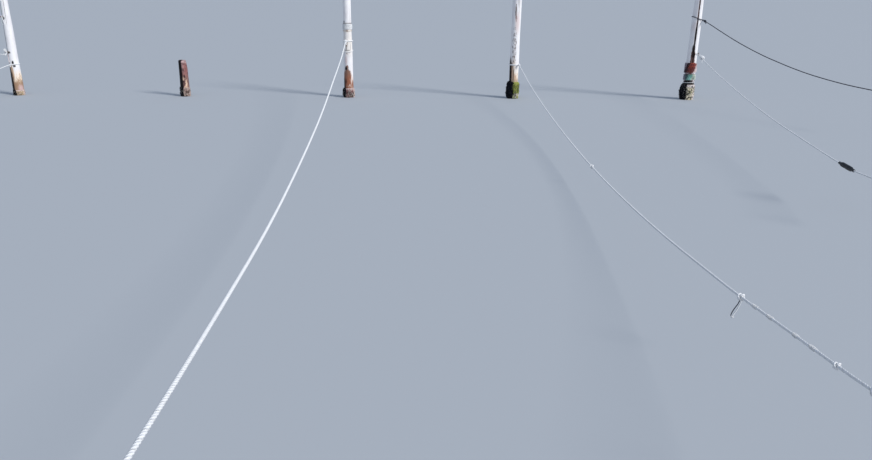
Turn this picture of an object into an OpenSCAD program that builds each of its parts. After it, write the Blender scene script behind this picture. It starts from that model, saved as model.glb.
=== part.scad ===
// A row of timber mooring piles in water, with the lines made fast to them.
// Origin: centre of the middle pile's foot at the water line. +X runs along the row,
// +Z is up, and the lines lead away towards -Y.

/* [Row] */
// Distance between the centres of neighbouring piles
bay = 3800; // [2500:50:6000]
// Height of a standing pile above the water
pile_h = 2600; // [2300:10:3200]
// Height of the broken pile above the water
stump_h = 810; // [620:10:1200]
// How far pile 1 stands off its place in the row
shift_1 = -20; // [-150:5:150]
// How far the broken pile stands off its place in the row
shift_2 = 35; // [-150:5:150]
// How far pile 4 stands off its place in the row
shift_4 = -50; // [-150:5:150]
// How far pile 5 stands off its place in the row
shift_5 = 115; // [-150:5:150]

/* [Piles] */
// Diameter of pile 1 at the water
foot_d_1 = 232; // [180:2:300]
// Diameter of pile 1 at its head
head_d_1 = 144; // [120:2:260]
// Diameter of the broken pile at the water
foot_d_2 = 204; // [180:2:300]
// Diameter that the broken pile had at its head
head_d_2 = 170; // [150:2:260]
// Diameter of pile 3 at the water
foot_d_3 = 222; // [180:2:300]
// Diameter of pile 3 at its head
head_d_3 = 160; // [110:2:260]
// Diameter of pile 4 at the water
foot_d_4 = 206; // [180:2:300]
// Diameter of pile 4 at its head
head_d_4 = 196; // [150:2:260]
// Diameter of pile 5 at the water
foot_d_5 = 236; // [180:2:300]
// Diameter of pile 5 at its head
head_d_5 = 184; // [150:2:260]
// Lean of pile 1 along the row
lean_1 = 0.2; // [-3:0.1:3]
// Lean of the broken pile along the row
lean_2 = 0.3; // [-3:0.1:3]
// Lean of pile 3 along the row
lean_3 = 0.4; // [-3:0.1:3]
// Lean of pile 4 along the row
lean_4 = 0.6; // [-3:0.1:3]
// Lean of pile 5 along the row
lean_5 = 1.1; // [-3:0.1:3]
// How far a log swells and narrows about its taper
swell = 2.4; // [0:0.2:6]
// Bevel round a sawn head
head_bevel = 16; // [4:1:30]

/* [Lines] */
// Diameter of the line on pile 3
line_d_3 = 24; // [16:1:28]
// Diameter of the line on pile 4
line_d_4 = 18; // [10:1:22]
// Diameter of the white line on pile 5
line_d_5 = 16; // [10:1:20]
// Diameter of the dark line on pile 5
dark_d = 18; // [10:1:22]
// Diameter of the lower line on pile 1
line_d_1 = 16; // [10:1:20]
// Diameter of the thin line on pile 1
thin_d = 10; // [6:1:12]
// Length of the eye at the far end of a line
eye_len = 240; // [160:10:320]

/* [Turns and wraps] */
// Diameter of the rope in the collar on pile 3
collar_d = 20; // [12:1:24]
// Height of the collar on pile 3
collar_z = 1490; // [1400:10:1700]
// Number of turns in the collar
collar_turns = 6; // [2:1:8]
// Diameter of the slack turn below the collar
slack_d = 12; // [8:1:16]
// Diameter of the rope in the red wrap on pile 5
red_d = 24; // [16:1:30]
// Number of turns in the red wrap
red_turns = 9; // [3:1:10]
// Diameter of the rope in the green wrap on pile 5
green_d = 20; // [14:1:24]
// Number of turns in the green wrap
green_turns = 6; // [3:1:7]
// Length of the rubber mooring spring on pile 5's white line
spring_len = 420; // [300:10:480]
// Diameter of the rubber mooring spring
spring_d = 54; // [40:1:70]

/* [Growth at the water line] */
// Height of the growth on pile 1
growth_h_1 = 120; // [60:5:160]
// Height of the growth on the broken pile
growth_h_2 = 200; // [100:5:260]
// Height of the growth on pile 3
growth_h_3 = 210; // [100:5:260]
// Height of the growth on pile 4
growth_h_4 = 370; // [200:5:420]
// Height of the growth on pile 5
growth_h_5 = 335; // [200:5:370]
// How far thin growth stands out from a pile
growth_thin = 9; // [5:1:20]
// How far the growth stands out from pile 3
growth_mid = 22; // [12:1:34]
// How far the heavy growth stands out from piles 4 and 5
growth_thick = 40; // [24:1:56]

/* [Hidden] */
$fn = 48;
// How much thicker each pile's growth is towards the start of the row, and thinner away from it
growth_bias = [0, 0, 0, 0.2, 0.2];
// Running gap between a piece and what it is seated on
seat = 0.3;
// How far a log is made below the water before its foot is cut level
below = 30;
// Height between the stations at which a log's radius is set
station = 200;
// Sides of a rope's tube
rope_sides = 8;
// Places of the piles along the row, and their sizes
pile_x = [-2 * bay + shift_1, -bay + shift_2, 0, bay + shift_4, 2 * bay + shift_5];
foot_r = [foot_d_1, foot_d_2, foot_d_3, foot_d_4, foot_d_5] / 2;
head_r = [head_d_1, head_d_2, head_d_3, head_d_4, head_d_5] / 2;
lean = [lean_1, lean_2, lean_3, lean_4, lean_5];
top_z = [pile_h, stump_h, pile_h, pile_h, pile_h];
// Where each log's swelling starts, in degrees
swell_phase = [0, 70, 140, 200, 300];
// Length of one swelling of a log
swell_len = 1150;

// Drying checks: height of the middle, length, direction, width and depth
checks = [
    [[1900, 900, -70, 9, 22], [900, 700, 20, 8, 20], [1600, 1200, 140, 11, 26]],
    [[560, 620, -100, 12, 26], [420, 560, 60, 10, 24]],
    [[1750, 800, -40, 7, 16], [1300, 1100, 100, 8, 20]],
    [[520, 420, -96, 10, 26], [2100, 640, -60, 9, 20], [1500, 1300, 160, 10, 24]],
    [[2130, 1500, -94, 17, 38], [1330, 1100, -98, 20, 42], [830, 420, -92, 26, 40],
        [1500, 1200, 80, 10, 24]]
];

// Lines: points from the hitch to the far end, from the foot of the line's own pile
route_1_lower = [[8, -138, 694], [-20, -172, 686], [-59, -220, 670], [-100, -270, 649],
    [-149, -330, 624], [-206, -400, 597], [-271, -480, 570], [-337, -560, 546],
    [-402, -640, 526], [-468, -720, 510], [-513, -776, 500], [-557, -832, 491]];
route_1_thin = [[-110, -71, 926], [-114, -75, 912], [-124, -84, 906], [-142, -101, 909],
    [-170, -128, 918], [-210, -168, 930], [-255, -218, 941], [-305, -282, 946],
    [-350, -348, 948], [-400, -424, 949], [-450, -498, 949], [-500, -572, 948],
    [-550, -646, 946]];
route_3 = [[-29, -132, 1248], [-24, -180, 1240], [-12, -300, 1225], [17, -600, 1188],
    [51, -1000, 1140], [90, -1500, 1080], [127, -2000, 1022], [198, -3000, 920],
    [269, -4000, 832], [349, -5000, 756], [432, -6000, 694], [515, -7000, 645],
    [596, -8000, 609], [677, -9000, 585], [760, -10000, 576], [844, -11000, 579],
    [923, -12000, 596], [994, -13000, 626], [1068, -14000, 670], [1111, -14600, 702],
    [1128, -14820, 714]];
route_4 = [[106, -80, 752], [110, -180, 737], [114, -300, 720], [125, -600, 681],
    [136, -1000, 632], [148, -1500, 575], [160, -2000, 524], [186, -3000, 433],
    [210, -4000, 360], [230, -5000, 306], [245, -6000, 269], [255, -7000, 250],
    [262, -8000, 249], [270, -9000, 265], [278, -10000, 300], [288, -11000, 352],
    [305, -12000, 422], [314, -12525, 464], [330, -13000, 510], [342, -13600, 571],
    [352, -13900, 604], [358, -14090, 626]];
route_5_white = [[76, -560, 943], [36, -760, 920], [-5, -1000, 899], [-78, -1500, 853],
    [-150, -2000, 810], [-282, -3000, 724], [-418, -4000, 649], [-554, -5000, 582],
    [-689, -6000, 529], [-824, -7000, 495], [-988, -8200, 468], [-1028, -8500, 462],
    [-1075, -8850, 463], [-1105, -9070, 464], [-1110, -9110, 466], [-1149, -9400, 487],
    [-1190, -9690, 508]];
route_5_dark = [[173, -88, 1722], [193, -173, 1697], [232, -300, 1656], [307, -508, 1577],
    [383, -715, 1498], [458, -922, 1421], [534, -1129, 1348], [609, -1336, 1280],
    [686, -1542, 1215], [762, -1748, 1155], [840, -1954, 1098], [917, -2160, 1048],
    [1073, -2572, 953], [1231, -2984, 874], [1389, -3396, 815], [1547, -3808, 770],
    [1705, -4220, 742], [1780, -4420, 733]];
// Ends that hang from the knot on pile 4's line
route_tail = [[0, 0, 0], [-1, 0, -12], [-8, -1, -30], [-19, -1, -50], [-29, 0, -70],
    [-37, 2, -92], [-42, 3, -112]];
route_tail_pale = [[0, 0, 0], [0, 0, -12], [-3, 2, -32], [-11, 3, -56], [-22, 3, -82],
    [-36, 2, -108], [-46, 1, -134]];
// End that hangs from the bowline
route_bowline_end = [[0, 0, 0], [-1, -2, -20], [-4, -5, -46], [-8, -7, -74], [-10, -6, -104]];
// Rope that drops from the thin line's spike to the hitch below it: heights and directions
drop_z = [926, 890, 850, 810, 770, 738];
drop_a = [-142, -138, -133, -129, -126, -124];

// Two square spikes in pile 1: height and direction, then bar, depth, reach and head
spike_1 = [[1730, -120], [968, -148]];
spike_bar = 10;
spike_deep = 50;
spike_out = 52;
spike_head = 6;
// Layers of turns in the knot on the lower spike, and the first turn's distance off the log
knot_layers = 3;
knot_off = 8;
// Loop of rope hung on the upper spike: its length and the half width of its lower end
hung_len = 190;
hung_r = 42;
// Heights of the turns that carry the lines on piles 1, 3 and 4
hitch_z_1 = 698;
hitch_z_3 = 1249;
hitch_z_4 = 745;
// Number of turns on pile 4, and the lay of a half hitch across its line
hitch_turns_4 = 2;
hitch_lay = 11;
// Dark seizing above the collar on pile 3: rope, turns and gap to the collar
band_d = 7;
band_turns = 2;
band_gap = 8;
// Slack turn below the collar: its height, how far it dips and how far it stands off
slack_z = 1040;
slack_drop = 26;
slack_out = 16;
// Turn that has slipped down from the collar: rope, height and how far it dips
slipped_d = 12;
slipped_z = 1472;
slipped_drop = 9;
// Knots on pile 4's line: the points of the route that carry one, their rope and ring
knot_at = [12, 17, 19, 20];
knot_d = 0.8 * line_d_4;
knot_r = 0.9 * line_d_4 + seat;
// Tails of the second knot: their knot, rope and distance off the middle
tail_at = 17;
tail_d = 7;
tail_side = 5;
// Dark turn on pile 5: its height, and how far it dips towards the line
dark_z = 1767;
dark_drop = 45;
// Eye bolt in pile 5: height, direction, bar and reach, then its eye and the ring in it
bolt_z = 1016;
bolt_a = -44;
bolt_bar = 12;
bolt_out = 16;
bolt_eye_r = 15;
bolt_eye_d = 10;
ring_r = 34;
ring_d = 10;
// How much wider each wrap of the bowline's knot is than its first
wrap_swell = [0, 4, 7, 7, 4, 0];
// Heights of the wraps on pile 5, and the rope of the single white turn
red_z = 588;
green_z = 432;
white_z = 380;
white_d = 12;

wood = "sienna";
paint = "ivory";
rope = "white";
dark_rope = "midnightblue";

// Small functions for directions and smooth paths
function unit(v) = v / norm(v);
function last(list) = list[len(list) - 1];
function spline(a, b, c, d, t) = 0.5 * (2 * b + (c - a) * t
    + (2 * a - 5 * b + 4 * c - d) * t * t + (3 * b - a - 3 * c + d) * t * t * t);
function smooth(p, steps) = [
    for (i = [0 : len(p) - 2], j = [0 : steps - 1])
        spline(p[max(i - 1, 0)], p[i], p[i + 1], p[min(i + 2, len(p) - 1)], j / steps),
    last(p)];
function moved(path, by) = [for (p = path) p + by];
function at_foot(path, i) = moved(path, [pile_x[i - 1], 0, 0]);

// Radius of a log at a height, from the same stations as its outline
function log_r(i, z) = foot_r[i - 1] + (head_r[i - 1] - foot_r[i - 1]) * z / pile_h
    + swell * sin(swell_phase[i - 1] + 360 * z / swell_len);
function log_table(i) = concat(
    [for (z = [-below : station : top_z[i - 1] - station / 2]) [z, log_r(i, z)]],
    [[top_z[i - 1], log_r(i, top_z[i - 1])]]);
function radius(i, z) = lookup(z, log_table(i));
// Radius at which a rope's middle lies when it is laid on the log
function snug(i, z, d) = max(radius(i, z - d / 2), radius(i, z), radius(i, z + d / 2))
    + d / 2 + seat;
function on_log(i, z, a, out) = [
    (radius(i, z) + out) * cos(a) + z * tan(lean[i - 1]),
    (radius(i, z) + out) * sin(a), z];

// A solid tube swept along a path, with flat ends
module tube(path, d, up = [0, 0, 1]) {
    count = len(path);
    rings = [for (i = [0 : count - 1])
        let (t = unit(path[min(i + 1, count - 1)] - path[max(i - 1, 0)]),
            s = unit(cross(t, up)), w = cross(s, t))
        for (k = [0 : rope_sides - 1])
            path[i] + d / 2 * (cos(360 * k / rope_sides) * s + sin(360 * k / rope_sides) * w)];
    n = rope_sides;
    sides = [for (i = [0 : count - 2], k = [0 : n - 1], half = [0, 1])
        let (a = i * n + k, b = i * n + (k + 1) % n)
        half == 0 ? [a, b, b + n] : [a, b + n, a + n]];
    first_cap = [for (k = [n - 1 : -1 : 0]) k];
    last_cap = [for (k = [0 : n - 1]) (count - 1) * n + k];
    polyhedron(rings, concat(sides, [first_cap, last_cap]), convexity = 8);
}

// A closed rope swept round a ring of points
module closed_tube(path, d, up = [0, 0, 1]) {
    count = len(path);
    n = rope_sides;
    rings = [for (i = [0 : count - 1])
        let (t = unit(path[(i + 1) % count] - path[(i + count - 1) % count]),
            s = unit(cross(t, up)), w = cross(s, t))
        for (k = [0 : n - 1])
            path[i] + d / 2 * (cos(360 * k / n) * s + sin(360 * k / n) * w)];
    sides = [for (i = [0 : count - 1], k = [0 : n - 1], half = [0, 1])
        let (j = (i + 1) % count, a = i * n + k, b = i * n + (k + 1) % n,
            c = j * n + (k + 1) % n, e = j * n + k)
        half == 0 ? [a, b, c] : [a, c, e]];
    polyhedron(rings, sides, convexity = 8);
}

module torus(r, d) {
    rotate_extrude() translate([r, 0]) circle(d = d, $fn = 24);
}

// Turns +Z to run from one point towards another
module aim(from, to) {
    v = unit(to - from);
    translate(from)
        rotate([0, acos(v[2]), atan2(v[1], v[0])])
            children();
}

// Puts children into a pile's own leaning frame
module on_pile(i) {
    translate([pile_x[i - 1], 0, 0])
        rotate([0, lean[i - 1], 0])
            children();
}

// A wedge-edged disc that opens a check, shallow at both ends and deepest in the middle
module check_cut(i, mid_z, long, a, wide, deep) {
    disc_r = long * long / (8 * deep) + deep / 2;
    rotate([0, 0, a])
        translate([radius(i, mid_z) - deep + disc_r, 0, mid_z])
            rotate([90, 0, 0])
                rotate_extrude($fn = 96)
                    polygon([[disc_r - 2 * deep, -wide], [disc_r, 0], [disc_r - 2 * deep, wide]]);
}

// The log as a solid of revolution, with its foot cut level with the water
module log_body(i, bevel) {
    table = log_table(i);
    top = last(table);
    rim = radius(i, top[0] - bevel);
    outline = concat(
        [[0, -below]],
        [for (k = [0 : len(table) - 2]) [table[k][1], table[k][0]]],
        [[rim, top[0] - bevel], [rim - bevel, top[0]], [0, top[0]]]);
    intersection() {
        on_pile(i)
            difference() {
                rotate_extrude($fn = 96) polygon(outline);
                for (c = checks[i - 1]) check_cut(i, c[0], c[1], c[2], c[3], c[4]);
                children();
            }
        translate([pile_x[i - 1] - bay / 2, -bay / 2, 0])
            cube([bay, bay, 2 * pile_h]);
    }
}

// Growth round a foot: an uneven crust, thickest at mid height, with a flat bottom
module growth(i, high, proud, levels = 5) {
    n = 26;
    per = levels + 1;
    function crust(k, z) = proud * (0.35 + 0.65 * sin(25 + 135 * z / high))
        * (1 + 0.22 * sin(3 * k * 360 / n + 50 * i) + 0.16 * sin(7 * k * 360 / n + z * 1.7 + 90 * i))
        * (1 - growth_bias[i - 1] * cos(k * 360 / n));
    function ring_point(k, z, r) = [
        pile_x[i - 1] + z * tan(lean[i - 1]) + r * cos(360 * k / n), r * sin(360 * k / n), z];
    inner = [for (j = [0 : levels], k = [0 : n - 1]) let (z = high * j / levels)
        ring_point(k, z, (radius(i, z) + seat) / cos(180 / n))];
    outer = [for (j = [0 : levels], k = [0 : n - 1]) let (z = high * j / levels)
        ring_point(k, z, (radius(i, z) + seat) / cos(180 / n) + crust(k, z))];
    shift = per * n;
    walls = [for (j = [0 : levels - 1], k = [0 : n - 1], half = [0 : 3])
        let (a = j * n + k, b = j * n + (k + 1) % n)
        half == 0 ? [a, b + n, b] : half == 1 ? [a, a + n, b + n]
        : half == 2 ? [a + shift, b + shift, b + n + shift]
        : [a + shift, b + n + shift, a + n + shift]];
    rims = [for (k = [0 : n - 1], half = [0 : 3])
        let (a = k, b = (k + 1) % n, t = levels * n)
        half == 0 ? [a, b, b + shift] : half == 1 ? [a, b + shift, a + shift]
        : half == 2 ? [a + t, b + t + shift, b + t] : [a + t, a + t + shift, b + t + shift]];
    polyhedron(concat(inner, outer), [for (f = concat(walls, rims)) [f[0], f[2], f[1]]],
        convexity = 6);
}

// Level turns of rope stacked round a log
module turns(i, low_z, d, count) {
    on_pile(i)
        for (k = [0 : count - 1])
            let (z = low_z + d / 2 + k * (d + seat))
            translate([0, 0, z]) torus(snug(i, z, d), d);
}

// One turn of rope that tilts or hangs slack round a log
module tilted_turn(i, mid_z, d, drop, low_a, slack) {
    n = 32;
    path = [for (k = [0 : n - 1])
        let (a = 360 * k / n, toward = cos(a - low_a), z = mid_z - drop * toward,
            r = (snug(i, z, d) + slack * (1 + toward) / 2) / cos(180 / n))
        [r * cos(a) + z * tan(lean[i - 1]), r * sin(a), z]];
    closed_tube(at_foot(path, i), d);
}

// Two half hitches drawn up on a line close to its pile
module half_hitches(route, d) {
    r = (d + seat) / cos(hitch_lay);
    aim(route[0], route[1]) {
        translate([0, 0, 0.2 * d]) rotate([hitch_lay, 0, 0]) torus(r, d);
        translate([0, 0, 1.4 * d]) rotate([0, -hitch_lay, 0]) torus(r, d);
    }
}

// The stretch of rope between a turn's middle line and the start of its line
module lead(from, route, d) {
    run = unit(route[0] - from);
    bend = acos(min(1, run * unit(route[1] - route[0])));
    aim(from, route[0])
        cylinder(h = norm(route[0] - from) - seat - d / 2 * tan(bend), d = 1.08 * d);
}

// The point of a turn's middle line that faces the start of a line
function turn_point(i, z, d, start) =
    let (a = atan2(start[1], start[0] - z * tan(lean[i - 1])))
    on_log(i, z, a, snug(i, z, d) - radius(i, z));

// A belt round two half circles: the narrow one at the start, the wide one at the far end
function belt(r_near, r_far, long, steps = 9) = concat(
    [for (k = [0 : steps]) let (a = 180 + 180 * k / steps)
        [r_near * cos(a), 0, r_near + r_near * sin(a)]],
    [for (k = [0 : steps]) let (a = 180 * k / steps)
        [r_far * cos(a), 0, long - r_far + r_far * sin(a)]]);

// An eye at the far end of a line: a seized throat and a loop of rope
module far_eye(route, d) {
    end = last(route);
    before = route[len(route) - 2];
    throat = 3.2 * d;
    aim(end, end + unit(end - before)) {
        translate([0, 0, seat]) cylinder(h = throat, d = 2.6 * d);
        translate([0, 0, throat - 0.8 * d])
            closed_tube(belt(0.72 * d, 0.2 * eye_len, eye_len - throat), d, [0, 1, 0]);
    }
}

// A square spike driven into a log
module spike(i, z, a, bar, out, deep, grow = 0) {
    rotate([0, 0, a])
        translate([radius(i, z) - deep, -bar / 2 - grow, z - bar / 2 - grow])
            cube([out + deep, bar + 2 * grow, bar + 2 * grow]);
}

module pile_1() {
    color(paint)
        log_body(1, head_bevel)
            for (s = spike_1) spike(1, s[0], s[1], spike_bar, spike_out, spike_deep, seat);
}

module pile_1_growth() {
    color("dimgray") growth(1, growth_h_1, growth_thin, 3);
}

module pile_1_spikes() {
    color("saddlebrown")
        on_pile(1)
            for (s = spike_1) {
                spike(1, s[0], s[1], spike_bar, spike_out, spike_deep - seat);
                rotate([0, 0, s[1]])
                    translate([radius(1, s[0]) + spike_out - spike_head, -spike_bar, s[0] - spike_bar])
                        cube([spike_head, 2 * spike_bar, 2 * spike_bar]);
            }
}

// A loop of rope hung on the upper spike, bearing on the spike's two upper edges
module pile_1_hung_loop() {
    s = spike_1[0];
    top_r = line_d_1;
    inside = top_r - line_d_1 / 2;
    rise = inside - sqrt(inside * inside - spike_bar * spike_bar / 4);
    color(rope)
        on_pile(1)
            rotate([0, 0, s[1]])
                translate([radius(1, s[0]) + spike_out / 2, 0,
                        s[0] + spike_bar / 2 + rise + line_d_1 / 2 + 2 * seat])
                    rotate([0, 180, 90])
                        closed_tube(belt(top_r, hung_r, hung_len), line_d_1, [0, 1, 0]);
}

module pile_1_drop_line() {
    path = [for (k = [0 : len(drop_z) - 1])
        on_log(1, drop_z[k], drop_a[k], thin_d / 2 + 2 * seat)];
    color("mistyrose") tube(at_foot(smooth(path, 3), 1), thin_d, [0, 1, 0]);
}

module pile_1_hitch() {
    color(rope) {
        turns(1, hitch_z_1 - line_d_1 / 2, line_d_1, 1);
        translate([pile_x[0], 0, 0])
            lead(turn_point(1, hitch_z_1, line_d_1, route_1_lower[0]), route_1_lower, line_d_1);
        half_hitches(at_foot(route_1_lower, 1), line_d_1);
    }
}

module line_1_lower() {
    color(rope) tube(at_foot(smooth(route_1_lower, 3), 1), line_d_1);
}

module line_1_eye() {
    color(rope) far_eye(at_foot(route_1_lower, 1), line_d_1);
}

module line_1_thin() {
    color(rope) tube(at_foot(smooth(route_1_thin, 3), 1), thin_d);
}

// Knot that holds the thin line on the lower spike, and the knot at its far end
module line_1_thin_knot() {
    route = at_foot(route_1_thin, 1);
    pitch = thin_d + seat;
    spike_r = spike_bar / sqrt(2) + seat + thin_d / 2;
    outer_r = spike_r + (knot_layers - 1) * pitch * sqrt(3) / 2;
    on_spike = on_log(1, spike_1[1][0], spike_1[1][1], spike_out / 2) + [pile_x[0], 0, 0];
    rim = on_spike + unit(route[0] - on_spike) * outer_r;
    color(rope) {
        on_pile(1)
            rotate([0, 0, spike_1[1][1]])
                translate([radius(1, spike_1[1][0]), 0, spike_1[1][0]])
                    rotate([0, 90, 0])
                        for (layer = [0 : knot_layers - 1], k = [0 : knot_layers - layer])
                            translate([0, 0, knot_off + (k + layer / 2) * pitch])
                                torus(spike_r + layer * pitch * sqrt(3) / 2, thin_d);
        lead(rim, route, thin_d);
        half_hitches(route, thin_d);
        aim(last(route), last(route) + unit(last(route) - route[len(route) - 2]))
            translate([0, 0, seat]) {
                cylinder(h = 1.4 * thin_d, d = 1.6 * thin_d);
                translate([0, 0, 2 * thin_d]) sphere(r = 1.3 * thin_d);
            }
    }
}

// The broken pile: its break slopes, and a slab has split away down one side
module stump_2() {
    color(wood)
        log_body(2, 2) {
            translate([0, 0, stump_h - 22])
                rotate([5, 5, 0])
                    translate([-150, -150, 0]) cube([300, 300, 120]);
            translate([foot_r[1] * 0.72, 0, stump_h])
                rotate([0, -8, 20])
                    translate([0, -200, -390]) cube([200, 400, 600]);
            for (n = [[-60, 24, 34], [10, -70, 20], [75, 40, -25], [150, 30, 15]])
                rotate([0, 0, n[0]])
                    translate([foot_r[1] * 0.75, 0, stump_h - 95])
                        rotate([0, n[2] / 3, n[1]])
                            rotate([90, 0, 0])
                                linear_extrude(400, center = true)
                                    polygon([[0, 0], [-16, 140], [16, 140]]);
        }
}

module stump_2_growth() {
    color("tan") growth(2, growth_h_2, growth_thin, 3);
}

module pile_3() {
    color(paint) log_body(3, head_bevel);
}

module pile_3_growth() {
    color("rosybrown") growth(3, growth_h_3, growth_mid);
}

// Thin dark seizing above the collar
module pile_3_band() {
    color("dimgray") turns(3, collar_z + collar_turns * (collar_d + seat) + band_gap, band_d, band_turns);
}

module pile_3_collar() {
    color(rope) {
        turns(3, collar_z, collar_d, collar_turns);
        tilted_turn(3, slipped_z, slipped_d, slipped_drop, -92, 0);
    }
}

module pile_3_slack_turn() {
    color(rope) tilted_turn(3, slack_z, slack_d, slack_drop, -90, slack_out);
}

module pile_3_hitch() {
    color(rope) {
        turns(3, hitch_z_3 - line_d_3 / 2, line_d_3, 1);
        lead(turn_point(3, hitch_z_3, line_d_3, route_3[0]), route_3, line_d_3);
        half_hitches(at_foot(route_3, 3), line_d_3);
    }
}

module line_3() {
    color(rope) tube(at_foot(smooth(route_3, 3), 3), line_d_3);
}

module line_3_eye() {
    color(rope) far_eye(at_foot(route_3, 3), line_d_3);
}

module pile_4() {
    color(paint) log_body(4, head_bevel);
}

module pile_4_growth() {
    color("olivedrab") growth(4, growth_h_4, growth_thick);
}

module pile_4_hitch() {
    color(rope) {
        turns(4, hitch_z_4 - line_d_4 / 2, line_d_4, hitch_turns_4);
        translate([pile_x[3], 0, 0])
            lead(turn_point(4, hitch_z_4, line_d_4, route_4[0]), route_4, line_d_4);
        half_hitches(at_foot(route_4, 4), line_d_4);
    }
}

module line_4() {
    color(rope) tube(at_foot(smooth(route_4, 3), 4), line_d_4);
}

module line_4_knots() {
    route = at_foot(route_4, 4);
    color(rope)
        for (k = knot_at)
            aim(route[k], route[k + 1])
                torus(knot_r, knot_d);
}

// Where a tail leaves the underside of its knot, which tilts with the line
function tail_start(side) =
    let (way = unit(route_4[tail_at + 1] - route_4[tail_at]),
        reach = sqrt(pow(knot_r + knot_d / 2, 2) - pow(abs(side) - tail_d / 2, 2)))
    at_foot(route_4, 4)[tail_at] + [side, 0, 0] + unit(way * way[2] - [0, 0, 1]) * reach
        - [0, 0, seat];

module line_4_tail() {
    color(dark_rope) tube(moved(smooth(route_tail, 2), tail_start(-tail_side)), tail_d, [0, 1, 0]);
}

module line_4_tail_pale() {
    top = tail_start(tail_side);
    color(rope) {
        tube(moved(smooth(route_tail_pale, 2), top), tail_d, [0, 1, 0]);
        translate(top + last(route_tail_pale)) sphere(r = tail_d);
    }
}

module line_4_eye() {
    color(rope) far_eye(at_foot(route_4, 4), line_d_4);
}

module pile_5() {
    color(paint)
        log_body(5, head_bevel)
            spike(5, bolt_z, bolt_a, bolt_bar, 10, spike_deep, seat);
}

module pile_5_growth() {
    color("darkolivegreen") growth(5, growth_h_5, growth_thick);
}

module pile_5_dark_turn() {
    color(dark_rope) {
        tilted_turn(5, dark_z, dark_d, dark_drop, 0, 0);
        translate([pile_x[4], 0, 0])
            lead(turn_point(5, dark_z - dark_drop + 3, dark_d, route_5_dark[0]),
                route_5_dark, dark_d);
        half_hitches(at_foot(route_5_dark, 5), dark_d);
    }
}

module line_5_dark() {
    color(dark_rope) tube(at_foot(smooth(route_5_dark, 3), 5), dark_d);
}

module line_5_dark_eye() {
    color(dark_rope) far_eye(at_foot(route_5_dark, 5), dark_d);
}

// The bolt's eye, from the foot of the pile
bolt_eye_out = bolt_out + bolt_eye_r;
bolt_eye = on_log(5, bolt_z, bolt_a, bolt_eye_out);
// The way that the line draws the ring
pull = unit(route_5_white[0] - bolt_eye);
ring_mid = bolt_eye + pull * (bolt_eye_r - bolt_eye_d / 2 - ring_d / 2 - seat + ring_r);
loop_near = ring_mid + pull * (ring_r - ring_d / 2 - line_d_5 / 2 - seat);
loop_far = route_5_white[0] - pull * (line_d_5 / 2 + seat);
loop_r = 1.15 * line_d_5;
wrap_r = loop_r + line_d_5 + seat;

module pile_5_eye_bolt() {
    color("dimgray")
        on_pile(5) {
            spike(5, bolt_z, bolt_a, bolt_bar, bolt_out + 2, spike_deep - seat);
            rotate([0, 0, bolt_a])
                translate([radius(5, bolt_z) + bolt_eye_out, 0, bolt_z])
                    torus(bolt_eye_r, bolt_eye_d);
        }
}

// Ring through the bolt's eye, drawn out by the line
module pile_5_ring() {
    color("gray")
        translate([pile_x[4], 0, 0])
            aim(ring_mid, ring_mid + pull)
                rotate([90, 0, 0])
                    torus(ring_r, ring_d);
}

// The bowline: its loop through the ring, the knot, and the knot's hanging end
module line_5_bowline() {
    long = norm(loop_far - loop_near);
    pitch = line_d_5 + seat;
    first = long - 0.35 * line_d_5 - (len(wrap_swell) - 1) * pitch;
    under = loop_far - pull * 2.35 * line_d_5
        - [0, 0, wrap_r + wrap_swell[3] + line_d_5 / 2 + seat];
    color(rope)
        translate([pile_x[4], 0, 0]) {
            aim(loop_near, loop_far) {
                rotate([0, 0, 90])
                    closed_tube(belt(loop_r, loop_r, long), line_d_5, [0, 1, 0]);
                for (k = [0 : len(wrap_swell) - 1])
                    translate([0, 0, first + k * pitch])
                        torus(wrap_r + wrap_swell[k], line_d_5);
            }
            tube(moved(smooth(route_bowline_end, 2), under), line_d_5, [0, 1, 0]);
        }
}

module line_5_white() {
    color(rope) tube(at_foot(smooth(route_5_white, 3), 5), line_d_5);
}

// Rubber mooring spring threaded on the line
module line_5_spring() {
    route = at_foot(route_5_white, 5);
    bore_r = line_d_5 / 2 + 2 * seat;
    neck_r = bore_r + 8;
    half = spring_len / 2;
    color("black")
        aim(route[12], route[13])
            rotate_extrude()
                polygon([[bore_r, -half], [neck_r, -half], [neck_r + 2, -half + 50],
                    [spring_d / 2, -half + 90], [spring_d / 2, half - 90],
                    [neck_r + 2, half - 50], [neck_r, half], [bore_r, half]]);
}

module line_5_eye() {
    color(rope) far_eye(at_foot(route_5_white, 5), line_d_5);
}

module pile_5_red_wrap() {
    color("firebrick") turns(5, red_z, red_d, red_turns);
}

module pile_5_green_wrap() {
    color("seagreen") turns(5, green_z, green_d, green_turns);
}

module pile_5_white_turn() {
    color(rope) turns(5, white_z, white_d, 1);
}

pile_1();
pile_1_growth();
pile_1_spikes();
pile_1_hung_loop();
pile_1_drop_line();
pile_1_hitch();
line_1_thin();
line_1_thin_knot();
line_1_lower();
line_1_eye();
stump_2();
stump_2_growth();
pile_3();
pile_3_growth();
pile_3_band();
pile_3_collar();
pile_3_slack_turn();
pile_3_hitch();
line_3();
line_3_eye();
pile_4();
pile_4_growth();
pile_4_hitch();
line_4();
line_4_knots();
line_4_tail();
line_4_tail_pale();
line_4_eye();
pile_5();
pile_5_growth();
pile_5_dark_turn();
line_5_dark();
line_5_dark_eye();
pile_5_eye_bolt();
pile_5_ring();
line_5_bowline();
line_5_white();
line_5_spring();
line_5_eye();
pile_5_red_wrap();
pile_5_green_wrap();
pile_5_white_turn();
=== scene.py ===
# A row of five timber mooring piles, one of them broken, with the ropes made fast to them.
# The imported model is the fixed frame. Each section below dresses one kind of piece.
from math import acos, atan2, cos, hypot, pi, radians, sin, tan

import bpy
import numpy as np
from mathutils import Matrix, Vector


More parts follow.
